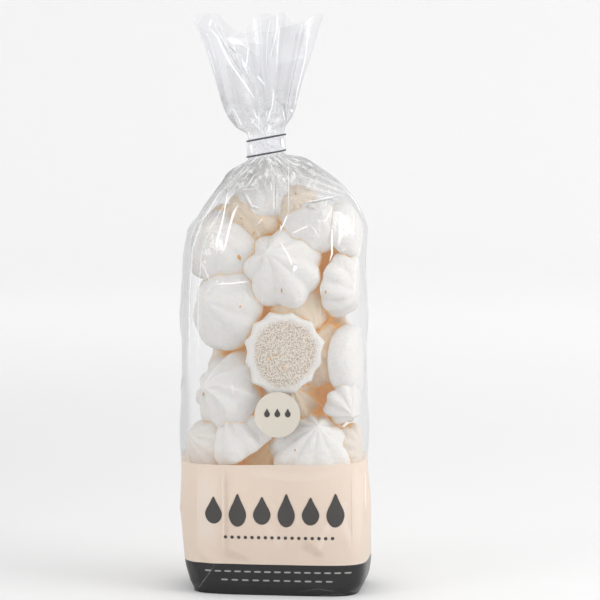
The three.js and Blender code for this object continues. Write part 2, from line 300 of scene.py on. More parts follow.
def film_material(name, clear, edge, roughness, crinkle):
    """Clear film: it lets light through, a little greyer where it is seen edge on, and shines.
    Painted white highlights and painted grey shade lie along its creases and in flecks where it is crumpled."""
    s = Shader(name)
    crumpled = s.attribute("crumpled")
    # Painted highlight flecks and painted shade flecks, where the film is crumpled.
    crumple_highlights = s.math("MULTIPLY", crumpled, s.ramp(s.noise(170.0, 4.0, 0.7), 0.48, 0.68))
    crumple_shade = s.math("MULTIPLY", crumpled, s.ramp(s.noise(130.0, 4.0, 0.7, Distortion=0.6), 0.52, 0.74))
    haze_and_painted_highlight = s.math("MULTIPLY_ADD", crumple_highlights, 0.55, s.attribute("haze_and_painted_highlight"))
    dusk = s.math("MULTIPLY_ADD", crumple_shade, 0.32, s.attribute("dusk"))
    facing = s.add("LayerWeight", {"Blend": 0.5}).outputs["Facing"]
    through = s.blend(s.math("POWER", facing, 2.5), clear, edge)
    through = s.blend(dusk, through, (0.0, 0.0, 0.0, 1))
    see_through = s.add("BsdfTransparent", {"Color": through})
    fine = s.noise(420.0, 2.0)
    coarse = s.noise(110.0, 3.0)
    relief = s.math("ADD", s.math("MULTIPLY", fine, 0.3), coarse)
    normal = s.bump(relief, crinkle)
    cloud = s.add("BsdfDiffuse", {"Color": grey(0.95), "Normal": normal})
    gloss = s.add("BsdfGlossy", {"Color": grey(1.0), "Roughness": roughness, "Normal": normal})
    hazy = s.add("MixShader", {0: haze_and_painted_highlight, 1: see_through.outputs[0], 2: cloud.outputs[0]})
    schlick = s.math("MULTIPLY_ADD", s.math("POWER", facing, 5.0), 0.85, 0.045)
    return s.finish(s.add("MixShader", {0: schlick, 1: hazy.outputs[0], 2: gloss.outputs[0]}))


def painted_fold_light_material():
    """Painted light on a sharp fold in clear film: a painted white highlight with a faint glow, and painted
    grey shade, over film that lets light through.
    """
    s = Shader("painted_fold_light")
    see_through = s.add("BsdfTransparent", {"Color": s.blend(s.attribute("dusk"), grey(1.0), grey(0.0))})
    cloud = s.add("BsdfDiffuse", {"Color": s.blend(s.noise(90.0), grey(0.97), grey(0.93))})
    glint = s.add("Emission", {"Color": grey(1.0), "Strength": 0.22})
    lit = s.add("AddShader", {0: cloud.outputs[0], 1: glint.outputs[0]})
    inputs = {0: s.attribute("haze_and_painted_highlight"), 1: see_through.outputs[0], 2: lit.outputs[0]}
    return s.finish(s.add("MixShader", inputs))


def meringue_material():
    """Dry baked meringue: matt and near white. The gaps get a painted orange shade with a faint painted
    glow, and cookies deep in the heap a painted darker shade.
    """
    s = Shader("meringue")
    white = s.blend(s.noise(60.0), (0.80, 0.785, 0.765, 1), (0.76, 0.745, 0.72, 1))
    crumb = s.add("TexVoronoi", {"Vector": s.place(), "Scale": 1250.0}).outputs["Distance"]
    underside = s.blend(s.ramp(crumb, 0.15, 0.6), (0.32, 0.24, 0.17, 1), (0.70, 0.635, 0.56, 1))
    plain = s.blend(s.attribute("porous"), white, underside)
    # Painted shade: cookies deep in the heap are darker and browner.
    plain = s.blend(s.attribute("inner"), plain, (0.56, 0.47, 0.375, 1))
    # Painted shade and glow in the gaps: an orange tint, and a faint orange emission that grows with it.
    painted_gap_glow_and_shade = s.attribute("painted_gap_glow_and_shade")
    colour = s.blend(painted_gap_glow_and_shade, plain, (0.87, 0.55, 0.19, 1))
    grain = s.bump(s.noise(1500.0, 2.0), 0.00012)
    normal = s.bump(s.noise(240.0, 4.0, 0.65), 0.0011, grain)
    return s.finish(s.add("BsdfPrincipled", {
        "Base Color": colour, "Roughness": 0.8, "Normal": normal,
        "Specular IOR Level": 0.25, "Subsurface Weight": 0.2,
        "Subsurface Radius": (1.0, 0.6, 0.35), "Subsurface Scale": 0.003,
        "Emission Color": (1.0, 0.62, 0.28, 1), "Emission Strength": s.math("MULTIPLY", painted_gap_glow_and_shade, 0.11),
    }))


def print_material(name, light, dark, roughness, gloss=0.5, lets_through=0.0):
    """Ink on film: satin, with a faint unevenness in its colour and surface. If it lets light
    through, it does so more where its inside is seen."""
    s = Shader(name)
    colour = s.blend(s.noise(45.0, 2.0), light, dark)
    grain = s.bump(s.noise(1200.0), PRINT_GRAIN)
    normal = s.bump(s.noise(140.0, 3.0), PRINT_WAVES, grain)
    satin = s.add("BsdfPrincipled", {
        "Base Color": colour, "Roughness": roughness, "Normal": normal, "Specular IOR Level": gloss,
    })
    if not lets_through:
        return s.finish(satin)
    lit = s.add("BsdfTranslucent", {"Color": colour})
    inside = s.add("NewGeometry").outputs["Backfacing"]
    share = s.math("MULTIPLY_ADD", inside, 0.8 - lets_through, lets_through)
    return s.finish(s.add("MixShader", {0: share, 1: satin.outputs[0], 2: lit.outputs[0]}))


def wire_material():
    s = Shader("tie_wire")
    colour = s.blend(s.noise(900.0), (0.055, 0.06, 0.07, 1), (0.085, 0.09, 0.10, 1))
    normal = s.bump(s.noise(1400.0), 0.0001)
    return s.finish(s.add("BsdfPrincipled", {
        "Base Color": colour, "Roughness": 0.42, "Metallic": 0.3, "Normal": normal,
    }))


def stage_material():
    s = Shader("stage")
    far = s.add("VectorMath", {0: s.place()}, operation="LENGTH").outputs["Value"]
    right = s.add("SeparateXYZ", {0: s.place()}).outputs[0]
    # Painted shade and light on the stage: the floor near the bag is darker, darkest to its left as a
    # painted shadow; further out, floor and wall grow lighter towards the right as painted light from that
    # side.
    near_painted_shade = s.blend(s.ramp(right, -0.35, 0.05), grey(0.73), grey(0.78))
    far_tone_and_painted_light = s.blend(s.ramp(right, -1.2, 1.2), grey(0.905), grey(0.96))
    colour = s.blend(s.ramp(far, 0.3, 1.6), near_painted_shade, far_tone_and_painted_light)
    return s.finish(s.add("BsdfPrincipled", {"Base Color": colour, "Roughness": 0.9,
                                             "Specular IOR Level": 0.1}))


BODY_FILM = film_material("clear_film", (0.965, 0.965, 0.968, 1), (0.80, 0.80, 0.81, 1), 0.10, 0.0004)
FRILL_FILM = film_material("frill_film", (0.97, 0.971, 0.98, 1), (0.84, 0.84, 0.86, 1), 0.12, 0.0006)
PAINTED_FOLD_LIGHT = painted_fold_light_material()
RIBBON = film_material("tie_film", (0.97, 0.97, 0.99, 1), (0.70, 0.70, 0.73, 1), 0.15, 0.0002)
MERINGUE = meringue_material()
CREAM = print_material("cream_print", (0.77, 0.655, 0.56, 1), (0.74, 0.625, 0.53, 1), 0.35,
                       lets_through=0.15)
DARK = print_material("dark_print", (0.014, 0.014, 0.015, 1), (0.02, 0.019, 0.02, 1), 0.3, 0.4)
SPOT = print_material("spot_print", (0.63, 0.585, 0.51, 1), (0.61, 0.565, 0.49, 1), 0.45)
INK = print_material("ink", (0.045, 0.042, 0.040, 1), (0.055, 0.051, 0.048, 1), 0.4)
PALE_INK = print_material("pale_ink", (0.34, 0.33, 0.32, 1), (0.30, 0.29, 0.28, 1), 0.4)
WIRE = wire_material()
AMBER = print_material("amber", (0.72, 0.40, 0.10, 1), (0.60, 0.30, 0.06, 1), 0.35)


# ---- Cookies ---------------------------------------------------------------------------------
# Height and radius along a cookie's side, from its base's edge to its tip, as shares of its own.
SIDE_PROFILE = np.array([
    (0, 0.92), (0.03, 0.965), (0.09, 0.99), (0.19, 1), (0.31, 0.965), (0.44, 0.87), (0.56, 0.73),
    (0.67, 0.57), (0.77, 0.41), (0.86, 0.265), (0.93, 0.14), (0.975, 0.06), (1, 0.012),
])
BASE_RIM = SIDE_PROFILE[0, 1]
MID_HEIGHT = 0.2  # a cookie is placed by this share of its height on its axis
RIDGE_DEPTH = 3.2


def cookie_grid(columns, base_rows, side_rows):
    """Turns, radius shares and height shares of a cookie's rings, from base centre to tip."""
    along = np.linspace(0, 1, side_rows)
    lift = np.interp(along, np.linspace(0, 1, len(SIDE_PROFILE)), SIDE_PROFILE[:, 0])
    radius = np.interp(lift, SIDE_PROFILE[:, 0], SIDE_PROFILE[:, 1])
    inner = np.linspace(0.02, BASE_RIM, base_rows, endpoint=False)
    radius = np.concatenate([inner, radius])
    lift = np.concatenate([np.zeros(base_rows), lift])
    turn = np.linspace(0, 2 * math.pi, columns, endpoint=False)
    return turn[None, :], radius[:, None], lift[:, None]


def cookie_points(grid, height, cookie, rng):
    """A star-piped cookie standing on its base: ridges run up its side and meet at the tip. They
    are sharp, or round lobes with sharp valleys between."""
    turn, share, lift = grid
    radius, ridges, lobed = cookie["radius"], cookie["count"], cookie["lobed"]
    phase = rng.uniform(0, 2 * math.pi, 6)
    twist = rng.uniform(-0.9, 0.9)
    warp = 0.5 * np.sin(turn + phase[0]) + 0.35 * np.sin(2 * turn + phase[1])
    wave = (ridges * turn + warp + twist * lift * 2) / (2 * math.pi)
    off_crest = 2 * np.abs(wave - np.round(wave))
    crest = np.maximum(1.002 - np.sqrt(off_crest**2 + 0.06**2), 0)
    tall = rng.uniform(0.65, 1.2, ridges)[np.round(wave).astype(int) % ridges]
    lobe = 0.03 + tall * (0.45 - np.sqrt(off_crest**4 + 0.1**2))
    ridge = (1 - lobed) * (tall * crest**1.6 - 0.32) + lobed * lobe
    on_side = smooth(BASE_RIM * 0.8, 1.0, share + lift)
    depth = RIDGE_DEPTH * cookie["ridges"] * on_side * np.minimum(1, share * 2.6)
    depth = depth * (0.75 + 0.9 * lift - 1.0 * lift**2)
    uneven = (1 + 0.035 * np.sin(2 * turn + phase[2] + 1.5 * lift)
              + 0.025 * np.sin(3 * turn + phase[3] - 2 * lift))
    out = radius * share * uneven + depth * ridge
    way = rng.uniform(0, 2 * math.pi)
    bend = rng.uniform(0.6, 2.6) * lift**2 + rng.uniform(0, 2.2) * smooth(0.8, 1.0, lift)
    x = out * np.cos(turn) + bend * math.cos(way)
    y = out * np.sin(turn) + bend * math.sin(way)
    z = height * lift + 0.5 * np.sin(turn + phase[4]) * share * (1 - lift) + 0 * turn
    points = np.stack([x, y, z], axis=-1).reshape(-1, 3)
    for _ in range(10):
        way3 = rng.normal(size=3)
        way3 *= rng.uniform(0.35, 1.1) / np.linalg.norm(way3)
        points += (0.07 * np.sin(points @ way3 + rng.uniform(0, 6.3)))[:, None] * np.array(way3)
    return points


def cookie_faces(columns, rows, first):
    """Quads between the rings, and a fan at each end."""
    quads = ring_faces(columns, rows, first)
    i = np.arange(columns)
    base, tip = first + columns * rows, first + columns * rows + 1
    last = first + columns * (rows - 1)
    under = np.stack([np.full(columns, base), first + (i + 1) % columns, first + i], axis=-1)
    top = np.stack([last + i, last + (i + 1) % columns, np.full(columns, tip)], axis=-1)
    return quads.tolist() + under.tolist() + top.tolist()


def turned(axis, spin):
    """The rotation that takes +Z to an axis, after a turn about +Z."""
    lean_to = Vector(axis).normalized().to_track_quat("Z", "Y").to_matrix()
    return np.array(lean_to @ Matrix.Rotation(spin, 3, "Z"))


# Cookies against the front film: x and height of the middle, the way the tip points (right, up,
# towards the viewer), radius, how far behind the film, how deep the ridges are, and how round.
FRONT_COOKIES = (
    (4.2, 176.8, (-0.20, 0.42, 0.90), 21.6, 0.0, 1.5, 0.55),
    (-30.0, 187.0, (-0.35, 0.50, 0.78), 22.3, 2.0, 0.7, 0.6),
    (-26.8, 154.0, (-0.55, 0.20, 0.80), 22.6, 0.0, 0.6, 0.9),
    (5.0, 131.5, (-0.26, -0.05, -0.96), 21.6, 0.0, 0.9, 0.0),
    (-25.5, 109.0, (-0.62, 0.34, 0.70), 21.2, 1.0, 1.2, 0.1),
    (-17.6, 83.2, (-0.53, 0.82, 0.20), 19.3, 0.5, 0.8, 0.5),
    (19.5, 78.5, (0.12, 0.68, 0.72), 22.0, 0.0, 1.1, 0.7),
    (41.0, 126.0, (0.93, 0.05, 0.35), 20.5, 3.0, 0.2, 1.0),
    (36.0, 168.0, (0.90, -0.15, 0.40), 17.5, 3.0, 0.7, 0.6),
    (20.0, 199.5, (0.20, 0.50, 0.80), 16.5, 3.0, 0.5, 0.5),
    (39.0, 197.0, (0.80, 0.30, 0.50), 16.0, 3.0, 0.5, 0.5),
    (-8.0, 217.0, (-0.10, 0.60, 0.70), 15.5, 0.0, 0.9, 0.2),
    (39.0, 104.5, (0.50, -0.40, 0.70), 12.5, 3.0, 0.9, 0.3),
    (12.5, 154.0, (0.60, -0.50, 0.60), 18.5, 10.0, 0.6, 0.5),
    (23.0, 129.0, (-0.20, 0.30, 0.90), 18.5, 10.0, 0.6, 0.5),
    (-14.0, 205.0, (-0.40, 0.30, 0.80), 16.5, 9.0, 0.8, 0.5),
    (9.5, 209.0, (0.10, 0.50, 0.80), 13.0, 8.0, 0.6, 0.5),
    (5.5, 104.5, (0.30, 0.40, 0.80), 18.5, 9.0, 1.0, 0.4),
    (-2.0, 77.0, (0.20, 0.40, 0.80), 17.0, 12.0, 0.8, 0.5),
    (-38.0, 79.5, (-0.60, 0.30, 0.60), 15.0, 6.0, 0.6, 0.5),
    (42.0, 78.0, (0.70, 0.10, 0.60), 13.5, 7.0, 0.7, 0.5),
)
AT_BACK = -1  # stands for how far behind the front film a cookie lies, where it isn't against it
# Against the back film they stand in two uneven columns.
BACK_COUNT = 11
BACK_LOW, BACK_PITCH, BACK_RADIUS = 20.0, 36.0, 20.5
BACK_COLUMN, BACK_MIDDLE, BACK_STAGGER = 23, -2, 8
RIDGE_COUNTS = {0: 7, 3: 12}  # of the first front cookie, and of the one that shows its base
# Points round a cookie, and its rings on the base and up the side: finest, finer and coarse.
FINE_COOKIES = 11
FINEST, FINER, COARSE = (96, 10, 32), (72, 5, 26), (48, 4, 18)
# Cookies that settle where there is room: behind the print, and in between.
LOW_COOKIES = (
    (-28, -10, 42), (2, -8, 34), (27, -10, 46), (-30, -10, 18), (4, -10, 18), (32, -10, 18),
)
# Spheres that stand in for a cookie of radius 1 while the heap settles: centre and radius.
STAND_INS = np.array([(0.675 * math.cos(a), 0.675 * math.sin(a), 0.33, 0.325)
                      for a in np.linspace(0, 2 * math.pi, 6, endpoint=False)]
                     + [(0, 0, 0.6, 0.6), (0, 0, 1.0, 0.35), (0, 0, 1.28, 0.16)])
TALLNESS = 1.3  # a cookie's height over its radius
SETTLE_STEPS, SINK, EASE, LONGEST_MOVE = 320, 0.12, 0.35, 1.5
CLEAR_OF_FILM = 0.4
SOFT_EDGE = 0.09  # cookies are pressed in over this share of the room inside the film
RAYS, RAY_START, RAY_REACH = 36, 0.4, 45.0  # to feel how shut in a point is
# How strong the painted orange shade and glow in the gaps are: deep in the heap, and where cookies close in
# on a point.
INNER_SHARE, INNER_WARMTH, EDGE_WARMTH, MOST_WARMTH = 0.5, 0.42, 0.8, 0.92
SHUT_IN_FROM, SHUT_IN_TO = 0.62, 0.9
# Amber flecks: x, height, width, length, tilt in degrees.
FLECKS = (
    (10.4, 217.0, 1.1, 3.4, 5), (-18.8, 203.4, 1.6, 1.4, 0), (-12.2, 195.5, 1.0, 2.0, 20),
    (-19.4, 182.6, 1.9, 3.4, -20), (5.0, 165.8, 1.0, 3.2, 8), (-17.6, 156.8, 1.1, 1.3, 0),
    (28.2, 164.9, 1.2, 1.8, 10), (-38.0, 109.0, 1.3, 3.8, 10), (5.5, 124.0, 1.0, 1.6, 0),
    (-1.0, 129.0, 0.9, 1.3, 0), (2.0, 131.0, 1.2, 1.0, 0), (12.5, 80.0, 0.9, 1.3, 0),
)
FLECK_COLUMNS, FLECK_ROWS, FLECK_RISE = 12, 8, 0.35
AHEAD = -80.0  # rays at the bag's front start here in y, and run back along +Y


def seen_axis(right, up, towards):
    """A direction as the viewer in front sees it, in the bag's frame."""
    return np.array((right, -towards, up))


def stand_in_spheres(cookie):
    """Centres and radii of a cookie's stand-in spheres, from the point it is placed by."""
    centres = STAND_INS[:, :3] * cookie["radius"]
    centres = centres - np.array((0, 0, MID_HEIGHT * TALLNESS * cookie["radius"]))
    return centres @ cookie["turn"].T, STAND_INS[:, 3] * cookie["radius"]


def film_room(x, y, z):
    """Half width and depth of the room inside the film at a place, and its centre and squareness."""
    centre, width, depth, square = outline_at(z)
    swell = np.where(y < 0, bulge(FRONT_PRESSED, x - centre, z), bulge(BACK_PRESSED, x - centre, z))
    spare = CLEAR_OF_FILM + 0.9 * smooth(196, 226, z)
    return np.maximum(width - spare, 1), np.maximum(depth - spare + swell, 1), centre, square


def kept_inside(points):
    """Points drawn in to the inside of the film, the more gently the further in they are."""
    x, y, z = points[:, 0], points[:, 1], points[:, 2]
    wide, deep, centre, square = film_room(x, y, z)
    far = (np.abs((x - centre) / wide) ** square + np.abs(y / deep) ** square) ** (1 / square)
    soft = 1 - SOFT_EDGE * np.exp((1 - SOFT_EDGE - far) / SOFT_EDGE)
    shrink = np.where(far > 1 - SOFT_EDGE, soft, far) / np.maximum(far, 1e-6)
    return np.stack([centre + (x - centre) * shrink, y * shrink, np.maximum(z, 0.6)], axis=-1)


def settle(cookies):
    """Pushes the cookies apart and into the bag till they lie as a heap. Pinned ones stay."""
    pinned = np.array([c["pinned"] for c in cookies])
    spheres = [stand_in_spheres(c) for c in cookies]
    owner = np.repeat(np.arange(len(cookies)), len(STAND_INS))
    offsets = np.concatenate([s[0] for s in spheres])
    radii = np.concatenate([s[1] for s in spheres])
    at = np.array([c["at"] for c in cookies], float)
    apart = owner[:, None] != owner[None, :]
    share = np.where(pinned[owner][None, :], 1.0, 0.5)
    for step in range(SETTLE_STEPS):
        centres = at[owner] + offsets
        gap = centres[:, None] - centres[None]
        far = np.linalg.norm(gap, axis=-1) + 1e-6
        over = np.where(apart, np.maximum(radii[:, None] + radii[None] - far, 0), 0)
        push = (gap * (over * share / far)[..., None]).sum(axis=1)
        room = radii + 0.6
        low = np.maximum(room - centres[:, 2], 0)
        wide, deep, centre, square = film_room(centres[:, 0], centres[:, 1], centres[:, 2])
        wide, deep = np.maximum(wide - room, 0.5), np.maximum(deep - room, 0.5)
        x, y = centres[:, 0] - centre, centres[:, 1]
        out = (np.abs(x / wide) ** square + np.abs(y / deep) ** square) ** (1 / square)
        back_in = 1 / np.maximum(out, 1) - 1
        push += np.stack([x * back_in, y * back_in, low], axis=-1)
        moved = np.zeros_like(at)
        np.add.at(moved, owner, push)
        moved = EASE * moved
        sinking = step < SETTLE_STEPS * 0.7
        moved[:, 2] -= SINK * sinking
        at += np.where(pinned[:, None], 0, np.clip(moved, -LONGEST_MOVE, LONGEST_MOVE))
    return at


def cookie_shape(cookie, columns, base_rows, side_rows):
    """A cookie's points about the point it is placed by, with its shares for the shades."""
    grid = cookie_grid(columns, base_rows, side_rows)
    rng = np.random.default_rng(cookie["seed"])
    height = TALLNESS * cookie["radius"] * rng.uniform(0.94, 1.06)
    points = cookie_points(grid, height, cookie, rng)
    on_base = np.repeat(1 - smooth(0.78, 0.86, grid[1][:, 0] + 9 * grid[2][:, 0]), columns)
    rows = base_rows + side_rows
    ends = np.array([points[:columns].mean(axis=0), points[-columns:].mean(axis=0)])
    ends[1, 2] += 0.25
    points = np.concatenate([points, ends])
    on_base = np.concatenate([on_base, [1, 0]])
    points -= np.array((0, 0, MID_HEIGHT * height))
    return points @ cookie["turn"].T, on_base, rows


def list_cookies(rng):
    """All the cookies: against the front film, against the back, and those that settle."""
    cookies = []
    for x, z, tip, radius, behind, ridges, lobed in FRONT_COOKIES:
        cookies.append({"place": (x, z), "tip": seen_axis(*tip), "radius": radius,
                        "ridges": ridges, "behind": behind, "facing": -1, "lobed": lobed})
    for i in range(BACK_COUNT):
        row, side = i // 2, 1 if i % 2 else -1
        tip = (0.3 * side + rng.normal(0, 0.4), 0.85, 0.4 * math.cos(2 * i) + rng.normal(0, 0.4))
        place = (BACK_COLUMN * side + BACK_MIDDLE, BACK_LOW + BACK_PITCH * row + BACK_STAGGER * side)
        cookies.append({"place": place, "tip": tip, "radius": BACK_RADIUS * rng.uniform(0.9, 1.05),
                        "ridges": rng.uniform(0.6, 1.1),
                        "behind": AT_BACK, "facing": 1, "lobed": 0.8 * rng.uniform()})
    for place in LOW_COOKIES:
        cookies.append({"at": place, "tip": rng.normal(size=3), "radius": rng.uniform(18, 20.5),
                        "behind": AT_BACK, "ridges": rng.uniform(0.6, 1.1), "lobed": 0.3})
    for i, cookie in enumerate(cookies):
        cookie["pinned"] = "place" in cookie
        cookie["seed"] = SEED * 100 + i
        cookie["count"] = RIDGE_COUNTS.get(i, rng.integers(8, 11))
        cookie["turn"] = turned(cookie["tip"], rng.uniform(0, 2 * math.pi))
    return cookies


def pressed_to_film(points, cookie):
    """Where a cookie's points, about the point it is placed by, lie just behind the film."""
    (x, z), facing = cookie["place"], cookie["facing"]
    room = face_of_skin(x + points[:, 0], z + points[:, 2], facing) - facing * points[:, 1]
    return (x, facing * (float(room.min()) - CLEAR_OF_FILM - max(cookie["behind"], 0)), z)


def ray_ways(count):
    """Directions spread evenly over a sphere."""
    i = np.arange(count) + 0.5
    up, turn = 1 - 2 * i / count, math.pi * (1 + math.sqrt(5)) * i
    flat = np.sqrt(1 - up**2)
    return np.stack([flat * np.cos(turn), flat * np.sin(turn), up], axis=-1)


def shut_in(points, faces, normals):
    """How far cookies close in on each point of their surface, from 0 to 1."""
    tree = BVHTree.FromPolygons(points.tolist(), faces)
    ways = ray_ways(RAYS)
    facing = np.maximum(normals @ ways.T, 0)
    starts = points + RAY_START * normals
    blocked = np.zeros(len(points))
    for k, way in enumerate(ways.tolist()):
        for i in np.nonzero(facing[:, k] > 0.05)[0].tolist():
            if tree.ray_cast(starts[i], way, RAY_REACH)[0] is not None:
                blocked[i] += facing[i, k]
    return blocked / facing.sum(axis=1)


def inner_share(points, normals, behind):
    """How much a point lies inside the heap, for its painted darker shade: on cookies set behind the front
    ones, and on the front sides of those at the back."""
    centre, width, _, _ = outline_at(points[:, 2])
    aside = 0.8 * smooth(0.45, 0.75, np.abs(points[:, 0] - centre) / width)
    deep = smooth(-0.1, 0.5, -normals[:, 1]) * (1 - aside)
    set_back = INNER_SHARE * smooth(5, 9, behind) + (1 - INNER_SHARE) * smooth(10, 12, behind)
    return np.where(behind < 0, deep, set_back)


def shade_cookies(piece, points, faces, behind):
    """Paints shade on the cookies: how deep in the heap each point is, for a painted darker shade, and how
    strong its painted orange shade and glow in the gaps are, for their material.
    """
    normals = np.empty(3 * len(points))
    piece.data.vertices.foreach_get("normal", normals)
    normals = normals.reshape(-1, 3)
    shaded = shut_in(points, faces, normals)
    inner = inner_share(points, normals, behind)
    painted_gap_glow_and_shade = EDGE_WARMTH * smooth(SHUT_IN_FROM, SHUT_IN_TO, shaded) + INNER_WARMTH * inner
    add_shades(piece.data, {"painted_gap_glow_and_shade": np.minimum(painted_gap_glow_and_shade, MOST_WARMTH), "inner": inner})


def make_cookies():
    """All the cookies as one piece, and its tree to cast rays at, in millimetres."""
    cookies = list_cookies(np.random.default_rng(SEED))
    fineness = ([FINEST] * FINE_COOKIES
                + [FINER] * (len(FRONT_COOKIES) - FINE_COOKIES + BACK_COUNT)
                + [COARSE] * len(LOW_COOKIES))
    shapes = [cookie_shape(c, *fine) for c, fine in zip(cookies, fineness)]
    for cookie, (points, _, _) in zip(cookies, shapes):
        if cookie["pinned"]:
            cookie["at"] = pressed_to_film(points, cookie)
    at = settle(cookies)
    everything, faces, porous, behind, first = [], [], [], [], 0
    for i, (points, on_base, rows) in enumerate(shapes):
        everything.append(kept_inside(points + at[i]))
        porous.append(on_base)
        behind.append(np.full(len(points), cookies[i]["behind"]))
        faces += cookie_faces(fineness[i][0], rows, first)
        first += len(points)
    everything = np.concatenate(everything)
    piece = make_mesh("meringues", everything, faces, MERINGUE, {"porous": np.concatenate(porous)})
    shade_cookies(piece, everything, faces, np.concatenate(behind))
    own(piece, "meringue", "bag_body", "bag_band", "bag_foot")
    return BVHTree.FromPolygons(everything.tolist(), faces)


def make_flecks(heap):
    """Amber beads of baked syrup on the cookies' fronts."""
    points, faces = [], []
    turn = np.linspace(0, 2 * math.pi, FLECK_COLUMNS, endpoint=False)[None, :]
    up = np.linspace(-1, 1, FLECK_ROWS)[:, None] * 0.97
    level = np.sqrt(1 - up**2)
    ball = np.stack([level * np.cos(turn), level * np.sin(turn), up + 0 * turn], axis=-1).reshape(-1, 3)
    for x, z, wide, tall, tilt in FLECKS:
        hit, normal, _, _ = heap.ray_cast(Vector((x, AHEAD, z)), Vector((0, 1, 0)))
        flat = np.array(Matrix.Rotation(math.radians(tilt), 3, "Y"))
        sized = (ball * (wide / 2, FLECK_RISE, tall / 2)) @ flat.T
        along = sized @ np.array(Vector((0, -1, 0)).rotation_difference(normal).to_matrix()).T
        faces += ring_faces(FLECK_COLUMNS, FLECK_ROWS, len(ball) * len(points)).tolist()
        points.append(along + np.array(hit))
    own(make_mesh("amber_flecks", np.concatenate(points), faces, AMBER), "meringue")


# ---- Film ------------------------------------------------------------------------------------
NECK_MIDDLE = (TIE_LOW + TIE_HIGH) / 2
STREAK_SHIFT = 0.05  # the painted white highlight streaks run this far round beside the gathers' sharp folds
SWELL, SHORTEST_SWELL, LONGEST_SWELL = 0.7, 14, 46

# Straight folds in the front film: x and height of both ends, rise, width.
FRONT_FOLDS = (
    (-23.5, 220.2, -30.5, 190.6, 1.1, 1.0), (-20.3, 212.1, -26.7, 187.9, 0.8, 0.8),
    (5.0, 193.3, 12.6, 176.1, 0.9, 0.8), (-31.6, 169.7, -11.6, 170.8, 0.9, 0.8),
    (-38.0, 181.5, -31.6, 169.7, 0.7, 0.8), (25.0, 186.9, 24.4, 142.3, 0.8, 0.9),
    (32.5, 206.7, 30.4, 179.9, 1.0, 0.9), (-35.3, 131.6, -35.9, 107.4, 0.5, 0.8),
    (9.4, 236.8, 8.8, 207.8, 0.9, 0.9), (12.0, 233.6, 39.5, 220.0, 0.8, 1.0),
    (13.0, 230.0, 34.1, 212.0, 0.8, 1.0), (-14.9, 233.6, -38.6, 196.0, 0.8, 1.1),
    (-12.0, 228.0, -20.0, 196.0, 0.7, 0.9), (2.0, 230.0, 6.0, 200.0, 0.6, 0.8),
    (-33.2, 308.7, -25.1, 300.7, 1.6, 1.0), (-26.5, 302.0, -7.3, 268.5, 2.0, 1.1),
    (1.8, 316.0, 1.6, 281.9, 1.4, 0.9), (-13.0, 296.0, -9.0, 262.0, 0.8, 0.9),
    (10.0, 290.0, 3.0, 256.0, 0.9, 0.9), (-40.0, 24.0, -26.0, 12.0, 0.8, 2.4),
    (-44.0, 21.0, -38.0, 3.0, 1.0, 2.0), (38.0, 40.0, 22.0, 22.0, 0.6, 3.0),
    (40.0, 36.0, 44.0, 20.0, 0.5, 2.0), (-20.0, 70.0, -24.0, 40.0, 0.4, 4.0),
    (12.0, 8.0, 30.0, 4.0, 0.5, 1.2), (22.0, 3.5, 38.0, 6.0, 0.5, 1.0),
)


def stray_folds(rng, count, reach, low, high, rise):
    """Seeded straight folds, mostly upright, over a face that reaches so far to both sides."""
    lines = []
    for _ in range(count):
        x, z = rng.uniform(-reach, reach), rng.uniform(low, high)
        way, long = rng.normal(math.pi / 2, 0.5), rng.uniform(10, 34)
        end = (x + long * math.cos(way), min(z + long * math.sin(way), high + 10))
        lines.append((x, z, *end, rise * rng.uniform(0.4, 1.0), rng.uniform(0.7, 1.5)))
    return tuple(lines)


def fold_rise(lines, across, height):
    """How far straight folds lift the film: a sharp ridge along each, that fades at its ends."""
    total = np.zeros(np.broadcast(across, height).shape)
    for x1, z1, x2, z2, rise, width in lines:
        long = math.hypot(x2 - x1, z2 - z1)
        dx, dz = (x2 - x1) / long, (z2 - z1) / long
        along = ((across - x1) * dx + (height - z1) * dz) / long
        off = np.abs((across - x1) * dz - (height - z1) * dx)
        ends = smooth(-0.05, 0.3, along) * (1 - smooth(0.7, 1.05, along))
        total = np.maximum(total, rise * ends * np.maximum(1 - off / (2 * width), 0))
    return total


def waves(seed, across, height):
    """How far a soft seeded unevenness lifts the film, up to where it is gathered."""
    rng = np.random.default_rng(seed)
    total = 0
    for _ in range(7):
        way, long = rng.uniform(0, math.pi), rng.uniform(SHORTEST_SWELL, LONGEST_SWELL)
        along = across * math.cos(way) + height * math.sin(way)
        total = total + np.sin(2 * math.pi * along / long + rng.uniform(0, 6.3))
    return SWELL * (0.5 + total / 14) * (1 - smooth(225, 240, height))


FOLD_SEED = np.random.default_rng(SEED + 1)
STRAY_FRONT = stray_folds(FOLD_SEED, 26, 44, 80, 215, 0.45)
STRAY_BACK = stray_folds(FOLD_SEED, 34, 44, 30, 225, 0.9)
STRAY_SIDES = stray_folds(FOLD_SEED, 16, 24, 30, 215, 0.8)
GATHERS = [(FOLD_SEED.uniform(0, 2 * math.pi), FOLD_SEED.uniform(-0.008, 0.008),
            FOLD_SEED.uniform(14, 44), FOLD_SEED.uniform(0.5, 1.2)) for _ in range(44)]


def gather_rise(turn, height):
    """Sharp folds that fan out from the neck, down over the shoulders and up into the frill."""
    total = np.zeros(np.broadcast(turn, height).shape)
    away = np.abs(height - NECK_MIDDLE)
    _, width, depth, _ = outline_at(height)
    for start, drift, reach, rise in GATHERS:
        off = np.abs((turn - start - drift * away + math.pi) % (2 * math.pi) - math.pi)
        off = off * (width + depth) / 2
        total = np.maximum(total, rise * np.exp(-off / 0.8) * (1 - smooth(0.3 * reach, reach, away)))
    return total * smooth(3, 9, away)


def front_rise(x, height):
    """How far the front film stands proud of the plain skin."""
    return (waves(SEED + 2, x, height) + fold_rise(FRONT_FOLDS, x, height)
            + fold_rise(STRAY_FRONT, x, height))


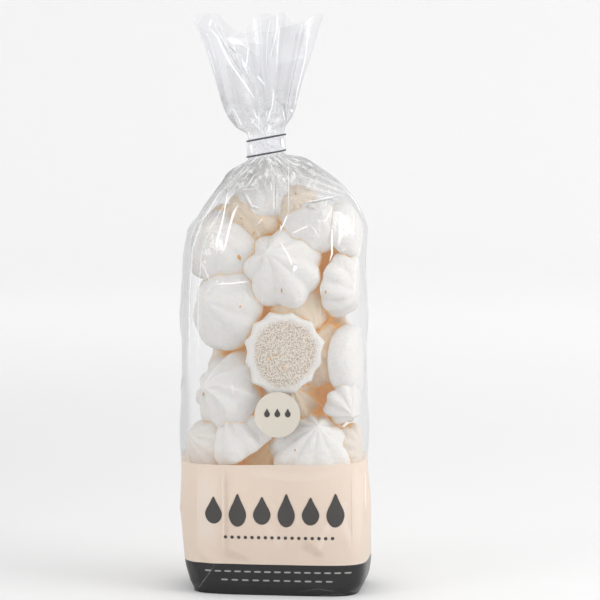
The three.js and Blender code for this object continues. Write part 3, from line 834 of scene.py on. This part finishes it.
def even_turns(columns):
    """Angles that divide the bag's section into equal lengths."""
    fine = np.linspace(-math.pi, math.pi, 4001)
    ring = skin(fine, 120.0)
    run = np.concatenate([[0], np.cumsum(np.linalg.norm(np.diff(ring, axis=0), axis=1))])
    return np.interp(np.linspace(0, run[-1], columns, endpoint=False), run, fine)


TURNS = even_turns(400)


def film_points(heights):
    """The film's points, with its folds, at even steps round the bag and at heights along it."""
    turn, height = np.broadcast_arrays(TURNS[None, :], heights)
    points = skin(turn, height, gather_rise(turn, height))
    c, s = np.cos(turn), np.sin(turn)
    x, y, z = points[..., 0], points[..., 1], points[..., 2]
    front, back = smooth(0.15, 0.55, -s), smooth(0.15, 0.55, s)
    flank = smooth(0.6, 0.95, np.abs(c))
    back_rise = waves(SEED + 3, x, z) + fold_rise(STRAY_BACK, x, z)
    points[..., 1] += back * back_rise - front * front_rise(x, height)
    points[..., 0] += np.sign(c) * flank * fold_rise(STRAY_SIDES, y * np.sign(c), z)
    return points


def film_sheet(name, heights, material, shades=None):
    points = film_points(heights)
    faces = ring_faces(points.shape[1], points.shape[0])
    return make_mesh(name, points.reshape(-1, 3), faces, material, shades)


def make_body_film():
    """The clear film from the band to the neck: hazier and more crumpled towards the neck."""
    heights = np.linspace(BAND_TOP, NECK_MIDDLE, 240)[:, None]
    turn, height = np.broadcast_arrays(TURNS[None, :], heights)
    # Painted shade: the film is greyer along its left edge.
    left = smooth(0.86, 0.99, -np.cos(turn))
    # Painted highlights: white streaks beside the gathers' folds.
    streaks = gather_rise(turn + STREAK_SHIFT, height)
    haze_and_painted_highlight = 0.02 + 0.06 * smooth(198, 226, height) + 0.2 * streaks
    neck_dusk = 0.08 * smooth(200, 222, height) + 0.14 * smooth(214, 230, height)
    dusk = neck_dusk * (1 - smooth(235, 238, height)) + 0.21 * left
    crumpled = 0.25 * smooth(190, 215, height) + 0.75 * smooth(212, 232, height)
    shades = {"haze_and_painted_highlight": haze_and_painted_highlight, "dusk": dusk, "crumpled": crumpled}
    return own(film_sheet("bag_film", heights, BODY_FILM, shades), "clear_film", "bag_body")


def make_printed_film():
    """The cream band, and the dark foot with its flat bottom."""
    band = film_sheet("printed_band", np.linspace(FOOT_TOP, BAND_TOP, 84)[:, None], CREAM)
    own(band, "cream_print", "bag_band")
    side = film_points(np.linspace(0, FOOT_TOP, 28)[:, None])
    shrink = np.linspace(1, 0.02, 40)[1:, None, None]
    bottom = side[0] * shrink
    bottom[..., 2] = 0
    points = np.concatenate([bottom[::-1], side])
    faces = ring_faces(len(TURNS), len(points))
    foot = make_mesh("dark_foot", points.reshape(-1, 3), faces, DARK)
    return band, own(foot, "dark_print", "bag_foot")


def rim_height(turn):
    """How high the frill's rim stands, in five points round it."""
    return FRILL_LOW + (FRILL_HIGH - FRILL_LOW) * (0.5 + 0.5 * np.sin(5 * turn + 0.6))


def make_frill():
    """The open frill of film above the tie."""
    share = np.linspace(0, 1, 110)[:, None]
    heights = NECK_MIDDLE + (rim_height(TURNS)[None, :] - NECK_MIDDLE) * share
    # Painted highlights: white streaks beside the gathers' folds.
    streaks = gather_rise(TURNS[None, :] + STREAK_SHIFT, heights)
    haze_and_painted_highlight = 0.02 + 0.06 * (1 - smooth(246, 268, heights)) + 0.12 * streaks
    dusk = 0.015 + 0.115 * (1 - smooth(254, 296, heights)) * smooth(246, 252, heights)
    crumpled = 0.85 * (1 - smooth(250, 284, heights))
    shades = {"haze_and_painted_highlight": haze_and_painted_highlight, "dusk": dusk, "crumpled": crumpled}
    return own(film_sheet("frill_film", heights, FRILL_FILM, shades), "clear_film", "bag_frill")


# Panels of the bag's side folds inside the frill: x and height of their corners, going round from
# the upper left, how far behind the front film, and how dark.
FLAPS = (
    ((1.4, 305.5), (16.0, 309.6), (13.6, 283.0), (0.6, 280.0), 4.0, 0.08),
    ((0.0, 286.5), (13.4, 289.6), (6.2, 256.0), (-0.4, 258.0), 5.0, 0.05),
    ((-24.0, 300.5), (-9.0, 290.0), (-5.0, 258.0), (-11.0, 258.0), 5.0, 0.09),
    ((-27.5, 285.6), (-19.7, 290.4), (-10.1, 268.3), (-25.0, 264.5), 3.0, 0.06),
    ((-14.9, 298.0), (-4.9, 297.0), (-4.3, 274.0), (-10.3, 268.0), 6.0, 0.06),
    ((-9.0, 304.0), (1.0, 304.0), (0.0, 258.0), (-7.0, 258.0), 14.0, 0.03),
)


def grid_faces(columns, rows, first=0):
    """Quads of a grid that is open on all sides."""
    i, j = np.meshgrid(np.arange(columns - 1), np.arange(rows - 1))
    corner = first + (j * columns + i).ravel()
    return np.stack([corner, corner + 1, corner + columns + 1, corner + columns], axis=-1)


def make_flaps():
    """Sheets folded inside the frill, that overlap its film and turn it greyer there."""
    columns, rows = 26, 60
    each = columns * rows
    across, down = np.meshgrid(np.linspace(0, 1, columns), np.linspace(0, 1, rows))
    points, faces, dusk, haze_and_painted_highlight = [], [], [], []
    for k, (*corners, inside, dark) in enumerate(FLAPS):
        top_left, top_right, low_right, low_left = np.array(corners)
        top = top_left + (top_right - top_left) * across[..., None]
        low = low_left + (low_right - low_left) * across[..., None]
        x, height = np.moveaxis(top + (low - top) * down[..., None], -1, 0)
        crease = 0.7 * np.abs(np.sin(2.6 * across * math.pi + k + 2 * down)) * (1 - 0.6 * down)
        centre, width, depth, _ = outline_at(height)
        front = -depth * np.sqrt(np.maximum(1 - ((x - centre) / width) ** 2, 0.05))
        y = front + inside * np.minimum(1, depth / 12) + crease
        faces += grid_faces(columns, rows, k * each).tolist()
        points.append(np.stack([x, y, height], axis=-1).reshape(-1, 3))
        merging = 1 - smooth(0.6, 1, down)
        shade = dark * (0.7 + 0.5 * np.cos(2 * math.pi * (0.9 * down - 0.35 * across)))
        dusk.append((shade * merging).ravel())
        haze_and_painted_highlight.append((0.04 * merging).ravel())
    shades = {"haze_and_painted_highlight": np.concatenate(haze_and_painted_highlight), "dusk": np.concatenate(dusk)}
    own(make_mesh("frill_flaps", np.concatenate(points), faces, FRILL_FILM, shades), "clear_film")


# ---- Painted highlights and shade on the film's creases ----------------------------------------
# Painted highlights and painted shade along the film's creases. Each is how white and how grey it is, and
# the points it runs through: across and down in pixels of the 600 pixel frame, and its width there.
FOLD_LIGHT_AND_SHADE = (
    (0.95, 0, ((228.8, 186.3, 0.6), (226, 203, 1.5), (221.5, 225, 2), (217.5, 240, 3), (216.5, 246, 2.4),
               (222, 254, 1))),
    (0.95, 0, ((238.8, 203.8, 1.2), (233.8, 212.5, 3), (229.4, 227.5, 2.2), (226.3, 241.3, 2.6),
               (223, 253, 1.4))),
    (0.6, 0, ((220, 238, 6), (221.5, 247, 5), (222.5, 252, 2))),
    (0.6, 0, ((200.6, 260, 0.8), (210.6, 282.5, 1))),
    (0.85, 0, ((213, 284.4, 1.2), (232.5, 283.3, 1.8), (250, 281.3, 1))),
    (0, 0.3, ((275.6, 180, 0.5), (275.4, 200, 1.2), (275, 215, 0.8))),
    (0.5, 0, ((274, 182, 0.6), (273.6, 212, 1))),
    (0.55, 0, ((288.7, 157, 0.6), (288.6, 190, 0.9), (288, 220, 0.6))),
    (0.8, 0, ((287.5, 213.8, 1.6), (283.8, 223.8, 1.6), (279.4, 232.5, 1))),
    (0.9, 0, ((280, 241.3, 0.8), (288.8, 256.3, 1.6), (292.5, 266.3, 1.8))),
    (1, 0, ((294.5, 265, 1), (295.3, 267.5, 5), (293.3, 272.5, 1))),
    (0.7, 0, ((291.3, 233.8, 1.2), (301, 229, 1.4), (310, 225, 0.8))),
    (0.5, 0, ((310, 223.8, 1), (318.8, 235, 1))),
    (0.6, 0, ((256.9, 225, 1), (263.8, 217.5, 0.8))),
    (0.5, 0, ((240, 190, 0.6), (255, 188.8, 1))),
    (0, 0.16, ((241.3, 191.3, 1), (250, 207.5, 2.4), (261, 211.3, 1))),
    (0.5, 0, ((243.3, 190, 0.8), (252, 205, 1.2), (262, 209, 0.8))),
    (0, 0.3, ((303.8, 203.8, 1.2), (316.3, 202, 1.8), (338.8, 196.9, 1.4))),
    (0.5, 0, ((303.8, 202, 1), (316.3, 200.2, 1.2), (338.8, 195, 1))),
    (0, 0.14, ((312, 203, 2), (306, 207, 3), (317, 210, 2))),
    (0.6, 0, ((332.5, 205, 1.5), (331.9, 210, 1.5), (325, 221.3, 1), (312.5, 220, 0.8))),
    (0.9, 0, ((331.9, 225, 1), (332, 253.8, 2), (328.8, 263.8, 0.6))),
    (0.35, 0, ((339, 218, 3), (341, 233, 6), (338, 248, 3))),
    (0.45, 0, ((341.3, 186.3, 1), (355, 200, 1.5), (362, 215, 1.2))),
    (0.3, 0, ((362, 240, 1), (356, 265, 1.2), (354.4, 298, 0.8))),
    (0.95, 0, ((208.9, 27.8, 2), (217.2, 36.7, 2.4), (229.4, 62.2, 2.6), (248.3, 88.9, 1.6),
               (255.6, 101, 0.8))),
    (0.5, 0, ((213.9, 22, 1), (225, 44.4, 1.2), (233.9, 63.3, 0.9), (249.4, 83.3, 0.8))),
    (0, 0.2, ((220, 36.7, 1), (228.3, 52.2, 2.4), (247.2, 81.1, 1))),
    (1, 0, ((211.7, 18.9, 1.6), (208.9, 26.7, 2.5))),
    (0.85, 0, ((226, 37.8, 2), (233, 41, 7), (243, 43.5, 4))),
    (0, 0.25, ((228.3, 45.5, 1.5), (237.2, 54.4, 2))),
    (0.8, 0, ((248.3, 47.8, 1), (246.7, 64.4, 1.6))),
    (0.5, 0, ((271.7, 13, 1), (267.2, 36.7, 1), (266.1, 62.2, 1), (267.8, 71, 0.8))),
    (0.7, 0, ((277.2, 13, 2), (276.7, 31, 1.8), (272.8, 46.7, 1), (269.4, 62.2, 0.8))),
    (0.5, 0, ((279.4, 22, 1), (278.9, 33, 1.2), (277.2, 53, 1), (276.7, 71, 0.8))),
    (0, 0.12, ((273, 36.7, 3), (272, 57.8, 3))),
    (0.6, 0, ((308.3, 19, 0.8), (309, 27.8, 1), (304.5, 62.2, 1.2), (297.5, 88.9, 1.1), (294, 108.9, 0.8))),
    (1, 0, ((290.6, 109, 2), (293, 113, 3), (292, 117, 1))),
    (0.5, 0, ((207.8, 48.9, 1), (216.5, 77.8, 1.2))),
    (0.6, 0, ((231.7, 105.6, 1.2), (243.2, 127.8, 1.2))),
    (0.95, 0, ((248.2, 131, 1.8), (250, 138, 1.5))),
    (0.8, 0, ((272.8, 87.8, 1.8), (273.3, 96.7, 1.4), (271.7, 108.9, 1.2), (266.1, 123.3, 0.8))),
    (0.6, 0, ((257.2, 75.6, 2.2), (266.1, 86.7, 1.6))),
    (0, 0.3, ((283.9, 103.3, 1.5), (286.6, 120, 1))),
    (0.8, 0, ((282.4, 108.9, 0.9), (285, 121, 0.9))),
    (0.8, 0, ((251, 124, 1), (255, 119, 1.5))),
    (0, 0.4, ((280, 138, 0.5), (281.3, 148.6, 0.5))),
    (0.8, 0, ((282.2, 138, 2.8), (283.4, 148, 2.8))),
    (0.7, 0, ((250.6, 144, 2.2), (252, 154, 2.6))),
    (0, 0.2, ((267, 143, 1.4), (269, 148, 0.8))),
)
# Painted highlights and shade on the printed film as well, mostly soft: lighter stripes and grey patches.
PRINT_LIGHT_AND_SHADE = (
    (0.13, 0, ((206, 466, 30), (207, 552, 28))), (0.2, 0, ((222.5, 466, 1), (223.5, 552, 1.2))),
    (0, 0.07, ((226, 466, 4), (227, 552, 5))), (0.12, 0, ((357, 466, 12), (358, 548, 13))),
    (0.4, 0, ((365.5, 463, 1), (365.5, 510, 1))), (0, 0.1, ((351, 470, 1), (352, 548, 1.2))),
    (0, 0.07, ((222, 552, 12), (250, 560, 6))), (0, 0.07, ((301, 543, 14), (324, 557, 8))),
    (0.1, 0, ((335, 512, 5), (322, 540, 9), (318, 556, 5))),
    (0.12, 0, ((345, 498, 8), (343, 520, 10), (352, 545, 6))),
    (0.08, 0, ((262, 515, 8), (283, 552, 9))), (0.08, 0, ((240, 472, 10), (300, 478, 12), (345, 474, 8))),
    (0.1, 0, ((214.5, 565, 1), (205, 579, 1.4), (196.5, 590.5, 1))),
    (0.06, 0, ((299, 592, 1), (318, 589, 1.2), (338, 592, 1))), (0.05, 0, ((318, 596, 1), (346, 594, 1.2))),
    (0.12, 0, ((349, 592, 0.8), (361, 590.5, 0.8))),
)
# The many small painted highlight and shade strokes on creases, in the same pixels: they fan out from the
# neck below and above the tie, run down inside the left edge and the right shoulder, and are strewn over the
# clear film.
NECK_BELOW, NECK_ABOVE = (268, 150), (264, 138)
LEFT_EDGE = ((243, 162), (214, 192), (197, 220), (188, 246), (185, 300), (185, 380), (187, 455))
LEFT_INSIDE, LEFT_SHOULDER_END = (2, 5.5, 10, 16.5), 260
SHOULDER_FROM, SHOULDER_TO, SHOULDER_CREASES = (293, 158), (350, 188), 9
STREWN_ACROSS, STREWN_DOWN, STREWN_CREASES = (190, 360), (180, 440), 46
CREASE_STEP = 1.3  # pixels between the rows of a crease
CREASE_LIFT = 0.12
ACROSS_CREASE = np.array((-0.5, -0.25, 0, 0.25, 0.5))
CREASE_SHARE = np.array((0.0, 0.9, 1.0, 0.9, 0.0))


def fanned(rng, count, middle, aim, spread, reach, white):
    """Seeded short strokes on creases that fan out from a point: painted highlights, and a third of them
    painted grey shade.
    """
    creases = []
    for _ in range(count):
        way = aim + rng.uniform(-spread, spread)
        start, long = rng.uniform(3, reach), rng.uniform(3, 12)
        wide = rng.uniform(0.6, 1.4)
        ends = [(middle[0] + r * math.sin(way), middle[1] + r * math.cos(way), wide)
                for r in (start, start + long)]
        grey_one = rng.uniform() < 0.34
        shade = white * rng.uniform(0.35, 1)
        creases.append((0 if grey_one else shade, 0.3 * shade if grey_one else 0, ends))
    return creases


def seeded_fold_light(rng):
    """The many small painted highlight and shade strokes: at the neck, down the left side fold, on the right
    shoulder, strewn.
    """
    creases = fanned(rng, 90, NECK_BELOW, 0, 1.25, 34, 0.7)
    creases += fanned(rng, 46, NECK_ABOVE, math.pi, 0.6, 24, 0.6)
    for inside in LEFT_INSIDE:
        shade = rng.uniform(0.2, 0.4) if int(2 * inside) % 2 else 0
        reach = rng.integers(4, len(LEFT_EDGE) + 1)
        run = [(x + 0.8 * inside, y + (0.5 * inside if y < LEFT_SHOULDER_END else 0),
                rng.uniform(0.7, 2.2)) for x, y in LEFT_EDGE[:reach]]
        creases.append((shade, 0 if shade else 0.08, run))
    for k in range(SHOULDER_CREASES):
        run = [(SHOULDER_FROM[0] + 0.8 * k, SHOULDER_FROM[1] + 5 * k, 0.8),
               (SHOULDER_TO[0] - 1.5 * k, SHOULDER_TO[1] + 1.6 * k, 1.2)]
        creases.append((0.3 if k % 2 else 0, 0 if k % 2 else 0.1, run))
    for _ in range(STREWN_CREASES):
        x, y, long = rng.uniform(*STREWN_ACROSS), rng.uniform(*STREWN_DOWN), rng.uniform(6, 26)
        lean_by = rng.normal(0, 0.3) * long
        creases.append((rng.uniform(0.1, 0.35), 0, ((x, y, 0.7), (x + lean_by, y + long, 1.0))))
    return creases


def view_ways():
    """The ways from the view's target back to the camera, and to the camera's right."""
    azimuth, elevation = math.radians(VIEW_AZIMUTH), math.radians(VIEW_ELEVATION)
    flat = Vector((math.sin(azimuth), -math.cos(azimuth), 0))
    away = flat * math.cos(elevation) + Vector((0, 0, math.sin(elevation)))
    return away, Vector((math.cos(azimuth), math.sin(azimuth), 0))


def pixel_ray(across, down):
    """Where the camera is, in millimetres, and the way it looks through a pixel."""
    away, right = view_ways()
    long, middle = VIEW_LENS / VIEW_SENSOR * FRAME_PIXELS, FRAME_PIXELS / 2
    way = -away + right * ((across - middle) / long) + away.cross(right) * ((middle - down) / long)
    return (VIEW_TARGET + VIEW_DISTANCE * away) / MM, way.normalized()


def crease_rows(run):
    """A crease's points one step apart, with its width and its way there."""
    run = np.array(run, float)
    along = np.concatenate([[0], np.cumsum(np.linalg.norm(np.diff(run[:, :2], axis=0), axis=1))])
    stops = np.linspace(0, along[-1], max(3, int(along[-1] / CREASE_STEP) + 1))
    x, y, wide = (np.interp(stops, along, run[:, k]) for k in range(3))
    way = np.stack([np.gradient(x), np.gradient(y)], axis=-1)
    way /= np.linalg.norm(way, axis=1)[:, None]
    fade = np.minimum(1, 4 * np.minimum(stops, along[-1] - stops) / along[-1] + 0.15)
    return x, y, wide, way, fade


def make_painted_fold_light(film):
    """Narrow strips along the creases, on the film they crease, that carry painted highlights and painted
    shade.
    """
    points, faces, haze_and_painted_highlight, dusk, first = [], [], [], [], 0
    seeded = seeded_fold_light(np.random.default_rng(SEED + 5))
    for white, dark, run in FOLD_LIGHT_AND_SHADE + PRINT_LIGHT_AND_SHADE + tuple(seeded):
        x, y, wide, way, fade = crease_rows(run)
        strip = []
        for k in range(len(x)):
            offs = ACROSS_CREASE * wide[k]
            rays = [pixel_ray(x[k] - off * way[k, 1], y[k] + off * way[k, 0]) for off in offs]
            hits = [(film.ray_cast(*ray)[0], ray[1]) for ray in rays]
            if any(hit is None for hit, _ in hits):
                continue
            strip.append([hit - CREASE_LIFT * ray_way for hit, ray_way in hits])
            haze_and_painted_highlight.append(white * fade[k] * CREASE_SHARE)
            dusk.append(dark * fade[k] * CREASE_SHARE)
        if strip:
            points += [tuple(point) for row in strip for point in row]
            faces += grid_faces(len(ACROSS_CREASE), len(strip), first).tolist()
            first += len(ACROSS_CREASE) * len(strip)
    shades = {"haze_and_painted_highlight": np.concatenate(haze_and_painted_highlight), "dusk": np.concatenate(dusk)}
    own(make_mesh("painted_fold_light", points, faces, PAINTED_FOLD_LIGHT, shades), "clear_film")


def film_tree(pieces):
    """The films as one tree to cast rays at, in millimetres."""
    points, faces, first = [], [], 0
    for piece in pieces:
        points += [tuple(v.co / MM) for v in piece.data.vertices]
        faces += [tuple(first + i for i in f.vertices) for f in piece.data.polygons]
        first = len(points)
    return BVHTree.FromPolygons(points, faces)


# ---- Tie, spot and print ---------------------------------------------------------------------
RIBBON_END, RIBBON_LAP = -0.65, 0.5  # the angle where the ribbon ends, and how far it laps over
PRINT_LIFT, SPOT_LIFT, BAND_DROP_LIFT, SPOT_DROP_LIFT = 0.12, 0.15, 0.22, 0.32
SPOT_DROP_STEP, SPOT_DROP_SIZE = 5.6, (3.6, 4.6)
# x of the first and last of a row, their number, and the row's height.
BAND_DROPS = (-31.5, 34.5, 6, 46.0)
BAND_DROP_WIDE, BAND_DROP_TALL, BAND_DROP_TALLER = 11.0, 15.0, 3.0
BAND_DOTS, DOT_SIZE = (-25, 33, 17, 32.5), 1.9
FOOT_DASHES, DASH_SIZE = ((-35, 41, 15, 13.4), (-26, 31, 11, 8.6)), (3.6, 0.9)


def make_ribbon():
    """The clear ribbon between the wires, once round the neck, with its end lapped over."""
    columns, rows = 120, 8
    turn = np.linspace(RIBBON_END - RIBBON_LAP, RIBBON_END + 2 * math.pi, columns)[None, :]
    height = np.linspace(TIE_LOW + GAP, TIE_HIGH - GAP, rows)[:, None]
    out = 1.0 - 0.35 * smooth(0, 1, (turn - turn.min()) / 6.8) + 0 * height
    centre, width, depth, _ = outline_at(TIE_LOW)
    across = (width + out) * np.cos(turn)
    points = np.stack([centre + across, (depth + out) * np.sin(turn),
                       height + TIE_SLOPE * across], axis=-1)
    even = np.ones(columns * rows)
    shades = {"haze_and_painted_highlight": 0.2 * even, "dusk": 0 * even, "crumpled": 0.4 * even}
    ribbon = make_mesh("tie_ribbon", points.reshape(-1, 3), grid_faces(columns, rows), RIBBON, shades)
    return own(ribbon, "tie_film", "tie_band")


def on_front(film, x, height, lift):
    """Points a little in front of the front film."""
    z = height + lean(height) * (x - outline_at(height)[0])
    starts = [Vector((i, AHEAD, k)) for i, k in zip(x.ravel(), z.ravel())]
    hits = [film.ray_cast(start, Vector((0, 1, 0)))[0] for start in starts]
    return np.array(hits) - (0, lift, 0)


def patch(film, centre_x, centre_z, outline_x, outline_z, rings, lift):
    """A flat shape on the front film, as rings that grow from its middle to its outline."""
    share = np.linspace(0.002, 1, rings)[:, None]
    x = centre_x + share * outline_x[None, :]
    height = centre_z + share * outline_z[None, :]
    return on_front(film, x, height, lift), ring_faces(len(outline_x), rings)


def patches(film, name, shapes, material, slot, rings, lift=PRINT_LIFT, nodes=()):
    """Flat shapes on the front film, joined into one piece."""
    points, faces, first = [], [], 0
    for centre_x, centre_z, outline_x, outline_z in shapes:
        some, quads = patch(film, centre_x, centre_z, outline_x, outline_z, rings, lift)
        faces += (quads + first).tolist()
        points.append(some)
        first += len(some)
    return own(make_mesh(name, np.concatenate(points), faces, material), slot, *nodes)


def drop_outline(wide, tall):
    """A piped drop: round below, drawn up to a point."""
    a = np.linspace(0, 2 * math.pi, 40, endpoint=False)
    up = 0.5 - 0.5 * np.cos(a)
    narrow = np.sin(a) * (1 - 0.62 * smooth(0.3, 1.0, up)) * (1 - 0.25 * up)
    return wide / 2 * narrow, tall * (up - 0.42)


def round_outline(wide, tall, square=2.0, points=24):
    """An ellipse, or with a higher squareness a rounded dash."""
    a = np.linspace(0, 2 * math.pi, points, endpoint=False)
    fill = (np.abs(np.cos(a)) ** square + np.abs(np.sin(a)) ** square) ** (-1 / square)
    return wide / 2 * fill * np.cos(a), tall / 2 * fill * np.sin(a)


def row_places(first, last, count, height):
    """The places of a row of marks."""
    return [(x, height) for x in np.linspace(first, last, count)]


def make_print(film):
    """The round spot and its drops, the band's drops and dots, and the foot's dashes."""
    spot = [(SPOT_X, SPOT_Z, *round_outline(2 * SPOT_RADIUS, 2 * SPOT_RADIUS, 2, 72))]
    patches(film, "spot_disc", spot, SPOT, "spot_print", 12, SPOT_LIFT, ("spot",))
    small = [(SPOT_X + SPOT_DROP_STEP * k, SPOT_Z + 0.6, *drop_outline(*SPOT_DROP_SIZE)) for k in (-1, 0, 1)]
    patches(film, "spot_drops", small, INK, "dark_print", 5, SPOT_DROP_LIFT)
    drops = [(*place, *drop_outline(BAND_DROP_WIDE, BAND_DROP_TALL + BAND_DROP_TALLER * (k % 2)))
             for k, place in enumerate(row_places(*BAND_DROPS))]
    patches(film, "band_drops", drops, INK, "dark_print", 12, BAND_DROP_LIFT)
    dots = [(*place, *round_outline(DOT_SIZE, DOT_SIZE)) for place in row_places(*BAND_DOTS)]
    patches(film, "band_dots", dots, INK, "dark_print", 4)
    dashes = [(*place, *round_outline(*DASH_SIZE, 4)) for row in FOOT_DASHES for place in row_places(*row)]
    patches(film, "foot_dashes", dashes, PALE_INK, "cream_print", 4)


# ---- The bag, and the room it is seen in -----------------------------------------------------
FLOOR_RADIUS, CURVE_RADIUS, WALL_TOP = 2.2, 0.8, 1.5  # in metres, as the lamps
WORLD_STRENGTH = 0.99
# Lamps: place, the point they face, size and watts.
LAMPS = {
    "key": ((1.2, -0.35, 0.75), (0, 0, 0.15), 0.8, 8),
    "left": ((-0.95, -0.8, 0.55), (0, 0, 0.2), 0.4, 2.0),
    "top": ((0.0, -0.3, 1.8), (0, 0, 0), 1.6, 1.5),
}


def add_camera():
    data = bpy.data.cameras.new("camera")
    data.lens = VIEW_LENS
    data.sensor_width = VIEW_SENSOR
    camera = bpy.data.objects.new("camera", data)
    away, _ = view_ways()
    camera.location = VIEW_TARGET + VIEW_DISTANCE * away
    camera.rotation_euler = (-away).to_track_quat("-Z", "Y").to_euler()
    bpy.context.scene.collection.objects.link(camera)
    bpy.context.scene.camera = camera


def add_light(name, place, target, size, watts):
    data = bpy.data.lights.new(name, "AREA")
    data.shape = "SQUARE"
    data.size = size
    data.energy = watts
    light = bpy.data.objects.new(name, data)
    light.location = place
    light.rotation_euler = (Vector(target) - Vector(place)).to_track_quat("-Z", "Y").to_euler()
    bpy.context.scene.collection.objects.link(light)


def add_stage():
    """A round floor that curves up into a wall all round."""
    columns = 96
    turn = np.linspace(0, 2 * math.pi, columns, endpoint=False)[None, :]
    floor = np.linspace(0.01, FLOOR_RADIUS, 12)[:, None]
    rise = np.linspace(0, math.pi / 2, 14)[1:, None]
    curve, wall = FLOOR_RADIUS + CURVE_RADIUS * np.sin(rise), [[FLOOR_RADIUS + CURVE_RADIUS]]
    radius = np.concatenate([floor, curve, wall])
    height = np.concatenate([0 * floor, CURVE_RADIUS * (1 - np.cos(rise)), [[WALL_TOP]]])
    points = np.stack([radius * np.cos(turn), radius * np.sin(turn), height + 0 * turn], axis=-1)
    faces = ring_faces(columns, len(radius))
    stage = make_mesh("stage", points.reshape(-1, 3) / MM, faces, stage_material())


def add_world(strength):
    world = bpy.data.worlds.new("world")
    world.use_nodes = True
    back = world.node_tree.nodes["Background"]
    back.inputs["Color"].default_value = (1, 1, 1, 1)
    back.inputs["Strength"].default_value = strength
    bpy.context.scene.world = world


add_camera()
add_stage()
add_world(WORLD_STRENGTH)
for lamp, settings in LAMPS.items():
    add_light(lamp, *settings)
scene = bpy.context.scene
scene.view_settings.view_transform = "Standard"
scene.cycles.transparent_max_bounces = 32

make_flecks(make_cookies())
film = film_tree([*make_printed_film(), make_body_film(), make_frill(), make_ribbon()])
make_painted_fold_light(film)
make_flaps()
make_print(film)
for wire in ("tie_wire_lower", "tie_wire_upper"):
    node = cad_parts[wire]
    node.data.materials.clear()
    node.data.materials.append(WIRE)
